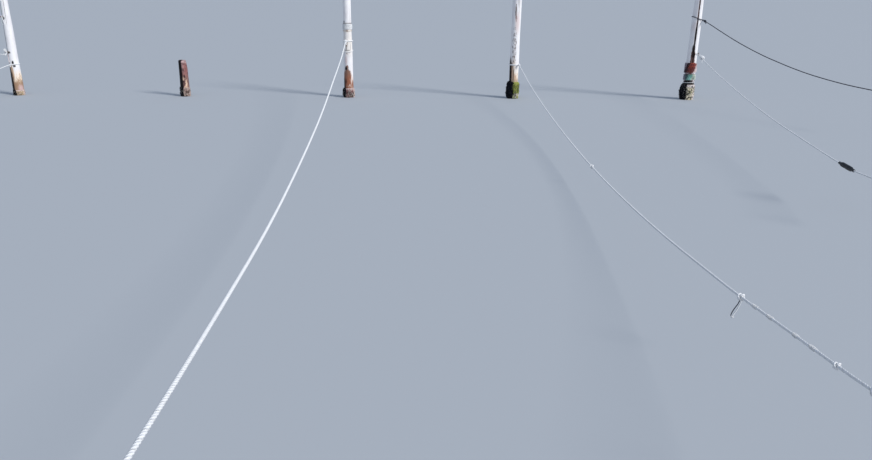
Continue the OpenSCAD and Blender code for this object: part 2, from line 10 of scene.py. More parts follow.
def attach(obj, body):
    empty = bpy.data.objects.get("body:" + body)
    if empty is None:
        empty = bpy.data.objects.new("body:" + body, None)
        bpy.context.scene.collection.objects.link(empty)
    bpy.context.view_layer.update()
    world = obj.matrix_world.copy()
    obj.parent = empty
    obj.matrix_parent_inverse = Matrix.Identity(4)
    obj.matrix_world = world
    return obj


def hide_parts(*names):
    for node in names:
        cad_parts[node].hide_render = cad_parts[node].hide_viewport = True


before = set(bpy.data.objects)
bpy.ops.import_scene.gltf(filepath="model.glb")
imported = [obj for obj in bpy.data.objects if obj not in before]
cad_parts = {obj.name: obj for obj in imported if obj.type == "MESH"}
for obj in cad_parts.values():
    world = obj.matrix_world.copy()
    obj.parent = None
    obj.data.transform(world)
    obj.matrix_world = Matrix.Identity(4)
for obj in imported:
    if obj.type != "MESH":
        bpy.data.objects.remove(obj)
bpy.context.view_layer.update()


# Camera, light and floor.
# The camera stands 2.25 m above the feet of the piles and looks slightly down along the lines.
# Soft light comes from high on the right, and the floor is plain and pale.
camera = bpy.data.objects.new("camera", bpy.data.cameras.new("camera"))
bpy.context.collection.objects.link(camera)
bpy.context.scene.camera = camera
camera.data.lens = 29.86
camera.data.sensor_width = 36
camera.data.clip_end = 3000
pitch, yaw, roll = (radians(a) for a in (18.05, -0.69, -0.28))
ahead = Vector((sin(yaw) * cos(pitch), cos(yaw) * cos(pitch), -sin(pitch)))
level = Vector((cos(yaw), -sin(yaw), 0))
below = ahead.cross(level)
right = level * cos(roll) + below * sin(roll)
down = below * cos(roll) - level * sin(roll)
turned = Matrix((right, -down, -ahead)).transposed().to_4x4()
camera.matrix_world = Matrix.Translation((2.21, -16.71, 2.25)) @ turned

lamps = {"sun": ((-0.76, 0.47, -0.52), 2.75, 16), "sky": ((0.4, 0.7, -0.8), 0.3, 90)}
for name, (toward, strength, spread) in lamps.items():
    lamp = bpy.data.objects.new(name, bpy.data.lights.new(name, "SUN"))
    lamp.data.energy = strength
    lamp.data.angle = radians(spread)
    lamp.rotation_euler = Vector(toward).to_track_quat("-Z", "Y").to_euler()
    bpy.context.collection.objects.link(lamp)


def place(tree, kind, settings=None, **sockets):
    """Adds a node with its settings and inputs. An input is named, or i0, i1 by its place."""
    made = tree.nodes.new(kind)
    for label, value in (settings or {}).items():
        setattr(made, label, value)
    for label, value in sockets.items():
        by_place = label[0] == "i" and label[1:].isdigit()
        socket = made.inputs[int(label[1:]) if by_place else label.replace("_", " ")]
        if isinstance(value, bpy.types.NodeSocket):
            tree.links.new(value, socket)
        else:
            socket.default_value = value
    return made


def tree_of(values):
    """The tree that a node's inputs come from"""
    return next(value.id_data for value in values if isinstance(value, bpy.types.NodeSocket))


def put(kind, settings=None, **sockets):
    """Adds a node where its inputs are, and gives its first output"""
    return place(tree_of(sockets.values()), kind, settings, **sockets).outputs[0]


world = bpy.data.worlds.new("pale sky")
bpy.context.scene.world = world
world.use_nodes = True
tree = world.node_tree
tree.nodes.clear()
seen = place(tree, "ShaderNodeLightPath").outputs[0]
light = place(tree, "ShaderNodeBackground", Color=(0.56, 0.72, 1, 1), Strength=0.42).outputs[0]
backdrop = place(tree, "ShaderNodeBackground", Color=(0.44, 0.46, 0.48, 1), Strength=1).outputs[0]
both = put("ShaderNodeMixShader", i0=seen, i1=light, i2=backdrop)
place(tree, "ShaderNodeOutputWorld", Surface=both)


def new_piece(name, points, edges, faces):
    """A mesh object from its points, edges and faces"""
    piece = bpy.data.objects.new(name, bpy.data.meshes.new(name))
    piece.data.from_pydata(points, edges, faces)
    bpy.context.collection.objects.link(piece)
    return piece


def new_finish(name):
    """A material without nodes, and its tree"""
    material = bpy.data.materials.new(name)
    material.use_nodes = True
    material.node_tree.nodes.clear()
    return material, material.node_tree


def surface(tree, **values):
    shader = place(tree, "ShaderNodeBsdfPrincipled", **values)
    place(tree, "ShaderNodeOutputMaterial", Surface=shader.outputs[0])


far, under = 900, -0.002
corners = [(-far, -far, under), (far, -far, under), (far, far, under), (-far, far, under)]
floor = new_piece("floor", corners, [], [(0, 1, 2, 3)])
floor_finish, tree = new_finish("pale floor")
surface(tree, Base_Color=(0.5, 0.52, 0.54, 1), Roughness=0.9)
floor.data.materials.append(floor_finish)
bpy.context.scene.view_settings.view_transform = "Standard"


# Mooring lines.
# Three-strand rope, made fast to a pile at one end and held taut at the other, which is out of
# the view and ends in a seized eye. Each line is one rope, which runs on round its own eye.
def smooth(points, steps=3):
    """A curve through the points, with as many steps in each span"""
    points = [Vector(p) for p in points]
    ends = [points[0]] + points + [points[-1]]
    made = []
    for a, b, c, d in zip(ends, ends[1:], ends[2:], ends[3:]):
        for j in range(steps):
            t = j / steps
            made.append(0.5 * (2 * b + (c - a) * t + (2 * a - 5 * b + 4 * c - d) * t * t
                               + (3 * b - a - 3 * c + d) * t * t * t))
    return made + [points[-1]]


def new_tree(name, kind, inputs, outputs):
    """A node group with named inputs and outputs, and the sockets of its inputs"""
    tree = bpy.data.node_groups.new(name, kind)
    for label, socket, value in inputs:
        made = tree.interface.new_socket(label, in_out="INPUT", socket_type="NodeSocket" + socket)
        if value is not None:
            made.default_value = value
    for label, socket in outputs:
        tree.interface.new_socket(label, in_out="OUTPUT", socket_type="NodeSocket" + socket)
    return tree, place(tree, "NodeGroupInput").outputs


def worked_out(operation, *values):
    """The result of a Math node"""
    named = {f"i{k}": v for k, v in enumerate(values)}
    return put("ShaderNodeMath", {"operation": operation}, **named)


def times(a, b):
    return worked_out("MULTIPLY", a, b)


def less(a, b):
    return worked_out("SUBTRACT", a, b)


def scaled(value, by, plus):
    return worked_out("MULTIPLY_ADD", value, by, plus)


def lobes_of(angle):
    """How near a place is to the top of one of a rope's three strands, from 0 to 1"""
    return worked_out("ABSOLUTE", worked_out("COSINE", times(angle, 1.5)))


def kept_as(shape, name, value, on="POINT"):
    """Keeps a value on a shape by name, for its material to read"""
    return put("GeometryNodeStoreNamedAttribute", {"data_type": "FLOAT", "domain": on},
               Geometry=shape, Name=name, Value=value)


def end_tree(tree, name, shape, material):
    """Ends a geometry tree in plain mesh of one material"""
    shape = put("GeometryNodeRealizeInstances", Geometry=shape)
    shape = put("GeometryNodeSetMaterial", Geometry=shape, Material=material)
    place(tree, "NodeGroupOutput", **{name: shape})


tree, given = new_tree("Laid rope", "GeometryNodeTree", [
    ("Path", "Geometry", None), ("Diameter", "Float", 0.02), ("Lay", "Float", 0.07),
    ("Rings a lay", "Float", 12.0), ("Sides a strand", "Int", 4), ("Material", "Material", None)],
    [("Rope", "Geometry")])
rope_tree = tree
line = put("GeometryNodeMeshToCurve", Mesh=given["Path"])
gap = worked_out("DIVIDE", given["Lay"], given["Rings a lay"])
line = put("GeometryNodeResampleCurve", {"mode": "LENGTH"}, Curve=line, Length=gap)
whole = place(tree, "GeometryNodeSplineLength").outputs["Length"]
lays = worked_out("ROUND", worked_out("DIVIDE", whole, given["Lay"]))
along = place(tree, "GeometryNodeSplineParameter").outputs
tilt = times(times(along["Factor"], lays), 2 * pi)
line = put("GeometryNodeSetCurveTilt", Curve=line, Tilt=tilt)
line = kept_as(line, "along", along["Length"])
sides = times(given["Sides a strand"], 3.0)
section = put("GeometryNodeCurvePrimitiveCircle", Resolution=sides, Radius=1.0)
angle = worked_out("DIVIDE", times(place(tree, "GeometryNodeInputIndex").outputs[0], 2 * pi), sides)
swell = scaled(lobes_of(angle), 0.28, 0.72)
reach = times(times(swell, given["Diameter"]), 0.5)
where = place(tree, "GeometryNodeInputPosition").outputs[0]
where = put("ShaderNodeVectorMath", {"operation": "SCALE"}, i0=where, Scale=reach)
section = put("GeometryNodeSetPosition", Geometry=section, Position=where)
section = kept_as(section, "around", angle)
tube = put("GeometryNodeCurveToMesh", Curve=line, Profile_Curve=section, Fill_Caps=True)
tube = put("GeometryNodeSetShadeSmooth", Geometry=tube, Shade_Smooth=True)
end_tree(tree, "Rope", tube, given["Material"])


def grow(piece, tree, values):
    """Puts a geometry tree on a piece with its inputs, and keeps the result as a plain mesh"""
    modifier = piece.modifiers.new(tree.name, "NODES")
    modifier.node_group = tree
    for socket in tree.interface.items_tree:
        if socket.in_out == "INPUT" and socket.name in values:
            modifier[socket.identifier] = values[socket.name]
    depsgraph = bpy.context.evaluated_depsgraph_get()
    made = bpy.data.meshes.new_from_object(
        piece.evaluated_get(depsgraph), preserve_all_data_layers=True, depsgraph=depsgraph)
    piece.modifiers.remove(modifier)
    piece.data = made
    return piece


def rope(name, points, d, finish, closed=False, rings=10, sides=4):
    """A piece of laid rope along a run of points"""
    edges = [(k, k + 1) for k in range(len(points) - 1)] + [(len(points) - 1, 0)] * closed
    return grow(new_piece(name, points, edges, []), rope_tree, {
        "Diameter": d, "Lay": 2.9 * d, "Rings a lay": float(rings), "Sides a strand": sides,
        "Material": finish})


def attribute(tree, name):
    settings = {"attribute_type": "GEOMETRY", "attribute_name": name}
    return place(tree, "ShaderNodeAttribute", settings).outputs["Fac"]


def spot_in(tree):
    """Where a point lies on the finished row"""
    return place(tree, "ShaderNodeTexCoord").outputs["Object"]


def noise_of(vector, scale, detail=3.0, rough=0.55):
    return put("ShaderNodeTexNoise", Vector=vector, Scale=scale, Detail=detail, Roughness=rough)


def step_of(value, low, high):
    """A soft step from 0 to 1 as a value goes from low to high"""
    return put("ShaderNodeMapRange", {"interpolation_type": "SMOOTHSTEP"}, Value=value,
               From_Min=low, From_Max=high)


def mix_of(factor, a, b, how="MIX"):
    """One colour going over to another. A plain colour is given as red, green and blue."""
    a, b = (v if isinstance(v, bpy.types.NodeSocket) else (*v, 1) for v in (a, b))
    settings = {"data_type": "RGBA", "blend_type": how}
    return place(tree_of((factor, a, b)), "ShaderNodeMix", settings, i0=factor, i6=a, i7=b).outputs[2]


def layered(hue, *layers):
    """A colour with others laid over it in turn, each as far as its mask lets it"""
    for mask, colour in layers:
        hue = mix_of(mask, hue, colour)
    return hue


def darkened(hue, shade):
    """A colour multiplied by a grey"""
    grey = put("ShaderNodeCombineColor", i0=shade, i1=shade, i2=shade)
    return mix_of(1.0, hue, grey, "MULTIPLY")


tree, given = new_tree("Laid yarns", "ShaderNodeTree", [
    ("Rope", "Color", (0.8, 0.8, 0.8, 1)), ("Soil", "Color", (0.3, 0.25, 0.2, 1)),
    ("Soiled", "Float", 0.3), ("Yarn", "Float", 0.006)],
    [("Color", "Color"), ("Height", "Float"), ("Roughness", "Float")])
yarn_tree = tree
spot, around = spot_in(tree), attribute(tree, "around")
turns = worked_out("DIVIDE", attribute(tree, "along"), given["Yarn"])
turns = scaled(turns, 2 * pi, times(around, 5.0))
yarns = scaled(worked_out("SINE", turns), 0.5, 0.5)
patches, specks = noise_of(spot, 7.0, 5.0), noise_of(spot, 160.0, 2.0)
soil = times(step_of(patches, 0.35, 0.7), given["Soiled"])
groove = times(less(1.0, lobes_of(around)), 0.2)
soil = worked_out("MAXIMUM", soil, times(groove, step_of(specks, 0.2, 0.6)))
hue = mix_of(soil, given["Rope"], given["Soil"])
# Painted shade: the colour darkens in the lines between the yarns
hue = darkened(hue, scaled(yarns, 0.14, 0.86))
height = scaled(yarns, 0.7, times(specks, 0.5))
place(tree, "NodeGroupOutput", Color=hue, Height=height, Roughness=step_of(specks, -1.2, 1.0))


def use(tree, group, **values):
    """Places a node group in a material with its own values"""
    return place(tree, "ShaderNodeGroup", {"node_tree": group}, **values).outputs


def bump(height, deep):
    return put("ShaderNodeBump", Height=height, Distance=deep)


def rope_surface(tree, hue, soil, soiled, yarn, sheen):
    """Gives a rope's material its yarns, its soil and its sheen"""
    yarns = use(tree, yarn_tree, Rope=hue, Soil=(*soil, 1), Soiled=soiled, Yarn=yarn)
    surface(tree, Base_Color=yarns["Color"], Roughness=yarns["Roughness"], Sheen_Weight=sheen,
            Normal=bump(yarns["Height"], 0.0008))


def rope_finish(name, colour, soil, soiled, yarn=0.005):
    material, tree = new_finish(name)
    rope_surface(tree, (*colour, 1), soil, soiled, yarn, 0.15)
    return material


white_rope = rope_finish("white rope", (0.97, 0.97, 0.97), (0.72, 0.68, 0.64), 0.15)
dark_rope = rope_finish("dark rope", (0.014, 0.018, 0.04), (0.06, 0.06, 0.065), 0.3)
twine = rope_finish("white twine", (0.84, 0.82, 0.77), (0.45, 0.38, 0.3), 0.3, 0.002)


def ride(piece, slot, *nodes):
    """Fixes a finished piece to the row and hides the nodes that it stands for. Its finish's slot is not
    used.
    """
    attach(piece, "root")
    if nodes:
        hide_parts(*nodes)
    return piece


def along_way(way):
    """Turns +Z to run along a way"""
    way = way.normalized()
    return Matrix.Rotation(atan2(way.y, way.x), 3, "Z") @ Matrix.Rotation(acos(way.z), 3, "Y")


def eye_points(end, way, d):
    """The rest of a line's rope: through the throat, round the eye and back into the throat"""
    long, wide = 0.24, 0.046
    bow_at = long - 0.8 * d - wide
    bow = [(wide * cos(a), bow_at + wide * sin(a)) for a in np.radians([0, 30, 60, 90])]
    side = [(0.15 * d, 0.9 * d), (0.5 * d, 1.9 * d), (0.54 * d, 3.1 * d), (0.028, 0.45 * long),
            (0.043, 0.6 * long)] + bow
    back = [(-x, z) for x, z in side[-2:0:-1]] + [(-0.9 * d, 0.8 * d)]
    turn = along_way(way)
    return [end + turn @ Vector((x, 0, z)) for x, z in side + back]


def seizing(name, end, way, d):
    """Twine wound tight round the throat of an eye"""
    turn, thin = along_way(way), 0.2 * d
    count, steps = 9, 20
    points = []
    for k in range(count * steps + 1):
        a = 2 * pi * k / steps
        x, y = (1.06 * d + thin / 2) * cos(a), (0.52 * d + thin / 2) * sin(a)
        points.append(end + turn @ Vector((x, y, 0.9 * d + k / steps * thin * 1.05)))
    return rope(name, points, thin, twine, rings=8, sides=2)


foot_x = {"pile_1": -7.62, "stump_2": -3.765, "pile_3": 0.0, "pile_4": 3.75, "pile_5": 7.715}


def from_foot(pile, points):
    return [Vector((foot_x[pile] + x, y, z)) for x, y, z in points]


# Where each line runs from its hitch to its eye or its last knot, measured from its pile's foot
route_1_lower = [(0.008, -0.138, 0.694), (-0.02, -0.172, 0.686), (-0.059, -0.22, 0.67),
                 (-0.1, -0.27, 0.649), (-0.149, -0.33, 0.624), (-0.206, -0.4, 0.597),
                 (-0.271, -0.48, 0.57), (-0.337, -0.56, 0.546), (-0.402, -0.64, 0.526),
                 (-0.468, -0.72, 0.51), (-0.513, -0.776, 0.5), (-0.557, -0.832, 0.491)]
route_1_thin = [(-0.11, -0.071, 0.926), (-0.114, -0.075, 0.912), (-0.124, -0.084, 0.906),
                (-0.142, -0.101, 0.909), (-0.17, -0.128, 0.918), (-0.21, -0.168, 0.93),
                (-0.255, -0.218, 0.941), (-0.305, -0.282, 0.946), (-0.35, -0.348, 0.948),
                (-0.4, -0.424, 0.949), (-0.45, -0.498, 0.949), (-0.5, -0.572, 0.948),
                (-0.55, -0.646, 0.946)]
route_3 = [(-0.029, -0.132, 1.248), (-0.024, -0.18, 1.24), (-0.012, -0.3, 1.225), (0.017, -0.6, 1.188),
           (0.051, -1, 1.14), (0.09, -1.5, 1.08), (0.127, -2, 1.022), (0.198, -3, 0.92),
           (0.269, -4, 0.832), (0.349, -5, 0.756), (0.432, -6, 0.694), (0.515, -7, 0.645),
           (0.596, -8, 0.609), (0.677, -9, 0.585), (0.76, -10, 0.576), (0.844, -11, 0.579),
           (0.923, -12, 0.596), (0.994, -13, 0.626), (1.068, -14, 0.67), (1.111, -14.6, 0.702),
           (1.128, -14.82, 0.714)]
route_4 = [(0.106, -0.08, 0.752), (0.11, -0.18, 0.737), (0.114, -0.3, 0.72), (0.125, -0.6, 0.681),
           (0.136, -1, 0.632), (0.148, -1.5, 0.575), (0.16, -2, 0.524), (0.186, -3, 0.433),
           (0.21, -4, 0.36), (0.23, -5, 0.306), (0.245, -6, 0.269), (0.255, -7, 0.25), (0.262, -8, 0.249),
           (0.27, -9, 0.265), (0.278, -10, 0.3), (0.288, -11, 0.352), (0.305, -12, 0.422),
           (0.314, -12.525, 0.464), (0.33, -13, 0.51), (0.342, -13.6, 0.571), (0.352, -13.9, 0.604),
           (0.358, -14.09, 0.626)]
route_5_white = [(0.076, -0.56, 0.943), (0.036, -0.76, 0.92), (-0.005, -1, 0.899), (-0.078, -1.5, 0.853),
                 (-0.15, -2, 0.81), (-0.282, -3, 0.724), (-0.418, -4, 0.649), (-0.554, -5, 0.582),
                 (-0.689, -6, 0.529), (-0.824, -7, 0.495), (-0.988, -8.2, 0.468), (-1.028, -8.5, 0.462),
                 (-1.075, -8.85, 0.463), (-1.105, -9.07, 0.464), (-1.149, -9.4, 0.487),
                 (-1.19, -9.69, 0.508)]
route_5_dark = [(0.173, -0.088, 1.722), (0.193, -0.173, 1.697), (0.232, -0.3, 1.656),
                (0.307, -0.508, 1.577), (0.383, -0.715, 1.498), (0.458, -0.922, 1.421),
                (0.534, -1.129, 1.348), (0.609, -1.336, 1.28), (0.686, -1.542, 1.215),
                (0.762, -1.748, 1.155), (0.84, -1.954, 1.098), (0.917, -2.16, 1.048),
                (1.073, -2.572, 0.953), (1.231, -2.984, 0.874), (1.389, -3.396, 0.815),
                (1.547, -3.808, 0.77), (1.705, -4.22, 0.742), (1.78, -4.42, 0.733)]
lines = {
    "line_3": (route_3, 0.024, white_rope, "line_3_eye"),
    "line_4": (route_4, 0.018, white_rope, "line_4_eye"),
    "line_5_white": (route_5_white, 0.016, white_rope, "line_5_eye"),
    "line_5_dark": (route_5_dark, 0.018, dark_rope, "line_5_dark_eye"),
    "line_1_lower": (route_1_lower, 0.016, white_rope, "line_1_eye"),
}
laid, ends = {}, {}
for name, (route, d, finish, eye) in lines.items():
    pile_number = name[len("line_")]
    route = from_foot("pile_" + pile_number, route)
    way = route[-1] - route[-2]
    path = smooth(route) + smooth([route[-1]] + eye_points(route[-1], way, d), 5)[1:]
    piece = rope(name + "_rope", path, d, finish, sides=6 if name == "line_3" else 4)
    ride(piece, "dark_rope" if finish == dark_rope else "white_rope", name, eye)
    laid[name] = (piece, path, d, route)
    ends[name] = [ride(seizing(name + "_seizing", route[-1], way, d), "white_rope")]


# Logs.
# Round softwood trunks with the bark off, driven into the bed. They taper, swell and lean, and
# have opened long drying checks. White paint flakes off them, and wear bares the wood low down.
# Radii, height and lean in degrees, where the paint ends, the colours of wood and wash, and for each
# drying check its middle's height, its length, direction, width and depth
logs = {
    "pile_1": dict(foot=0.116, head=0.072, top=2.6, lean=0.2, phase=0, paint_ends=0.44, slant=0.06,
        wash=(0.92, 0.7, 0.48), wood=(0.86, 0.6, 0.4), dark_wood=(0.56, 0.34, 0.2), wet=(0.5, 0.3, 0.18),
        soaks=0.36, flaked=0.05, fades=0.5, dim=0.3, checks=[(1.9, 0.9, -70, 0.009, 0.022),
        (0.9, 0.7, 20, 0.008, 0.02), (1.6, 1.2, 140, 0.011, 0.026)]),
    "stump_2": dict(foot=0.102, head=0.085, top=0.78, lean=0.3, phase=70, paint_ends=2.0, slant=0.0,
        wash=(0.5, 0.3, 0.2), wood=(0.4, 0.165, 0.145), dark_wood=(0.15, 0.055, 0.05),
        wet=(0.36, 0.19, 0.15), soaks=0.46, flaked=0.0, fades=0.3, dim=0.0,
        checks=[(0.56, 0.62, -100, 0.012, 0.026), (0.42, 0.56, 60, 0.01, 0.024)]),
    "pile_3": dict(foot=0.111, head=0.08, top=2.6, lean=0.4, phase=140, paint_ends=0.38, slant=0.04,
        wash=(0.66, 0.42, 0.32), wood=(0.36, 0.17, 0.1), dark_wood=(0.2, 0.085, 0.05),
        wet=(0.4, 0.14, 0.07), soaks=0.5, flaked=0.05, fades=0.5, dim=0.3,
        checks=[(1.75, 0.8, -40, 0.007, 0.016), (1.3, 1.1, 100, 0.008, 0.02)]),
    "pile_4": dict(foot=0.103, head=0.098, top=2.6, lean=0.6, phase=200, paint_ends=0.62, slant=0.26,
        wash=(0.92, 0.74, 0.56), wood=(0.82, 0.58, 0.4), dark_wood=(0.42, 0.22, 0.12),
        wet=(0.5, 0.4, 0.26), soaks=0.4, flaked=0.12, fades=0.35, dim=1.0,
        checks=[(0.52, 0.42, -96, 0.01, 0.026), (2.1, 0.64, -60, 0.009, 0.02),
        (1.5, 1.3, 160, 0.01, 0.024)]),
    "pile_5": dict(foot=0.118, head=0.092, top=2.6, lean=1.1, phase=300, paint_ends=0.46, slant=0.0,
        wash=(0.7, 0.62, 0.66), wood=(0.2, 0.08, 0.065), dark_wood=(0.06, 0.025, 0.022),
        wet=(0.06, 0.04, 0.03), soaks=0.5, flaked=0.06, fades=0.3, dim=0.2,
        checks=[(2.13, 1.5, -94, 0.017, 0.038), (1.33, 1.1, -98, 0.02, 0.042),
        (0.83, 0.42, -92, 0.026, 0.04), (1.5, 1.2, 80, 0.01, 0.024)]),
}
# Marks on the logs: what shows, then its height, direction, half height, half width and strength
# The dark soot marks are partly real soot, rot and dirt and partly painted shade: the long dark strips down
# each log's left side, away from the sun, and the dark line round pile 3 at its slack turn are painted shade.
marks = {
    "pile_1": {
        "soot_and_shade": [(1.2, -148, 1.7, 0.03, 0.8), (0.14, -134, 0.5, 0.052, 1.0),
            (0.4, -106, 0.13, 0.022, 0.7), (0.955, -104, 0.022, 0.03, 0.9),
            (0.735, -76, 0.035, 0.018, 1.0), (0.66, -64, 0.024, 0.024, 1.0),
            (1.7, -112, 0.03, 0.04, 0.8)],
        "bare": [(0.96, -118, 0.04, 0.02, 0.9), (0.5, -104, 0.17, 0.04, 1.0)],
        "pale": [(0.16, -26, 0.07, 0.05, 0.9)]},
    "stump_2": {
        "soot_and_shade": [(0.3, -132, 0.9, 0.07, 1.0), (0.72, 10, 0.07, 0.012, 0.8), (0.6, -74, 0.035, 0.018, 0.6),
            (0.24, -100, 0.05, 0.02, 0.6), (0.52, -98, 0.04, 0.016, 0.6), (0.45, -66, 0.03, 0.02, 0.6),
            (0.33, -92, 0.02, 0.04, 0.7)],
        "stain": [(0.26, -58, 0.12, 0.05, 1.0), (0.38, -80, 0.05, 0.05, 0.9)],
        "pale": [(0.79, -80, 0.04, 0.3, 0.9), (0.68, -88, 0.1, 0.03, 0.4)]},
    "pile_3": {
        "soot_and_shade": [(1.66, -140, 0.02, 0.03, 0.6), (1.14, -104, 0.1, 0.008, 0.6),
            (1.14, -50, 0.1, 0.005, 0.6), (1.05, -90, 0.012, 0.05, 0.7), (0.65, -114, 0.035, 0.025, 1.0),
            (0.2, -150, 0.24, 0.036, 1.0), (0.36, -118, 0.05, 0.012, 0.8)],
        "stain": [(1.46, -100, 0.07, 0.2, 0.4), (1.2, -70, 0.24, 0.2, 0.4)],
        "bare": [(1.47, -88, 0.03, 0.04, 0.7), (1.14, -100, 0.1, 0.03, 0.55),
            (0.98, -85, 0.03, 0.05, 0.5), (0.92, -108, 0.06, 0.04, 0.4), (0.66, -106, 0.08, 0.05, 0.7),
            (0.49, -100, 0.15, 0.09, 1.0), (0.34, -118, 0.09, 0.12, 1.0)],
        "pale": [(0.82, -112, 0.1, 0.03, 1.0)]},
    "pile_4": {
        "soot_and_shade": [(2.36, -88, 0.12, 0.005, 0.8), (2.14, -74, 0.14, 0.005, 0.8),
            (0.5, -156, 0.36, 0.05, 1.0), (0.55, -106, 0.16, 0.006, 0.8)],
        "pale": [(1.66, -76, 0.2, 0.05, 0.9)],
        "bare": [(1.88, -104, 0.2, 0.016, 0.8), (1.1, -108, 0.6, 0.07, 0.52),
            (1.74, -96, 0.08, 0.022, 0.7), (0.55, -112, 0.2, 0.016, 1.0)],
        "stain": [(0.62, -80, 0.12, 0.1, 0.4)]},
    "pile_5": {
        "bare": [(1.9, -95, 0.95, 0.017, 0.9), (0.9, -97, 0.3, 0.05, 1.0), (0.56, -108, 0.03, 0.14, 1.0)],
        "soot_and_shade": [(1.12, -100, 0.1, 0.03, 0.9), (1.4, -96, 0.26, 0.02, 0.85),
            (1.0, -96, 0.06, 0.036, 0.85), (0.39, -120, 0.05, 0.09, 1.0)],
        "pale": [(1.6, -130, 0.1, 0.05, 0.5)]},
}


def log_radius(log, z):
    """A log's radius at a height, from stations 0.2 m apart"""
    stations = np.append(np.arange(-0.03, log["top"] - 0.1, 0.2), log["top"])
    swelling = 0.0024 * np.sin(np.radians(log["phase"]) + 2 * np.pi * stations / 1.15)
    radii = log["foot"] + (log["head"] - log["foot"]) * stations / 2.6 + swelling
    return np.interp(z, stations, radii)


def share_of(values):
    return np.clip(values, 0, 1)


def relief(u, v, seed, across, per_metre):
    """Smooth random relief from 0 to 1, closed round a log and with its own scale along it"""
    lattice = np.random.default_rng(seed).random((across, 512))
    x, y = u * across, v * per_metre
    i, j = np.floor(x).astype(int), np.floor(y).astype(int)
    s, t = x - i, y - j
    s, t = s * s * (3 - 2 * s), t * t * (3 - 2 * t)
    i, ii, j = i % across, (i + 1) % across, j % 511
    low = lattice[i, j] * (1 - s) + lattice[ii, j] * s
    high = lattice[i, j + 1] * (1 - s) + lattice[ii, j + 1] * s
    return low * (1 - t) + high * t


def shell_of_rings(name, rings, painted, tube=False):
    """A closed piece from rings of points, bottom to top, with the values painted on its points.
    A tube closes from its last ring to its first, and anything else at a point in each end."""
    count, around = rings.shape[:2]
    points, faces = rings.reshape(-1, 3), []
    for j in range(count if tube else count - 1):
        up = (j + 1) % count
        for k in range(around):
            n = (k + 1) % around
            faces.append((j * around + k, j * around + n, up * around + n, up * around + k))
    if not tube:
        points = np.vstack([points, rings[0].mean(0), rings[-1].mean(0)])
        low, high, last = count * around, count * around + 1, (count - 1) * around
        for k in range(around):
            n = (k + 1) % around
            faces += [(n, k, low), (last + k, last + n, high)]
    piece = new_piece(name, points.tolist(), [], faces)
    for label, values in painted.items():
        values = np.append(values.reshape(-1), [] if tube else [values[0].mean(), values[-1].mean()])
        made = piece.data.attributes.new(label, "FLOAT", "POINT")
        made.data.foreach_set("value", values.astype(np.float32))
    piece.data.shade_smooth()
    return piece


def lean_over(name, points):
    """Puts points of a log's own upright frame where the leaning log stands"""
    a = radians(logs[name]["lean"])
    x, y, z = points[..., 0], points[..., 1], points[..., 2]
    return np.stack([foot_x[name] + x * cos(a) + z * sin(a), y, z * cos(a) - x * sin(a)], -1)


def turn_from(a, toward):
    """How far round a log a place is from a direction, either way"""
    return (a - radians(toward) + pi) % (2 * pi) - pi


def torn_off(rings, a, u, seed, top):
    """Shapes a log's upper end as a sloping, splintered break, with a slab split off one side"""
    x, y, z = rings[..., 0], rings[..., 1], rings[..., 2]
    out = np.hypot(x, y)
    splinters = relief(x / 0.3 + 0.5, y / 0.3 + 0.5, seed + 4, 40, 40) * 0.022
    splinters -= 0.018 * share_of((out - 0.06) / 0.03) ** 2
    for toward in (-60, 10, 75, 150):
        notch = share_of(1 - np.abs(turn_from(a, toward)) / 0.22)
        splinters -= 0.05 * notch * share_of(out / 0.08 - 0.4)
    z = z / top * (0.788 - 0.0875 * x + 0.0879 * y + splinters)
    past = 0.9306 * x + 0.3387 * y - (0.0683 + 0.139 * (0.81 - z)) + 0.004 * relief(u, z, seed + 5, 60, 4)
    past = np.clip(past, 0, None) * share_of((z - 0.4) / 0.1)
    return np.stack([x - 0.9397 * past, y - 0.342 * past, z], -1)


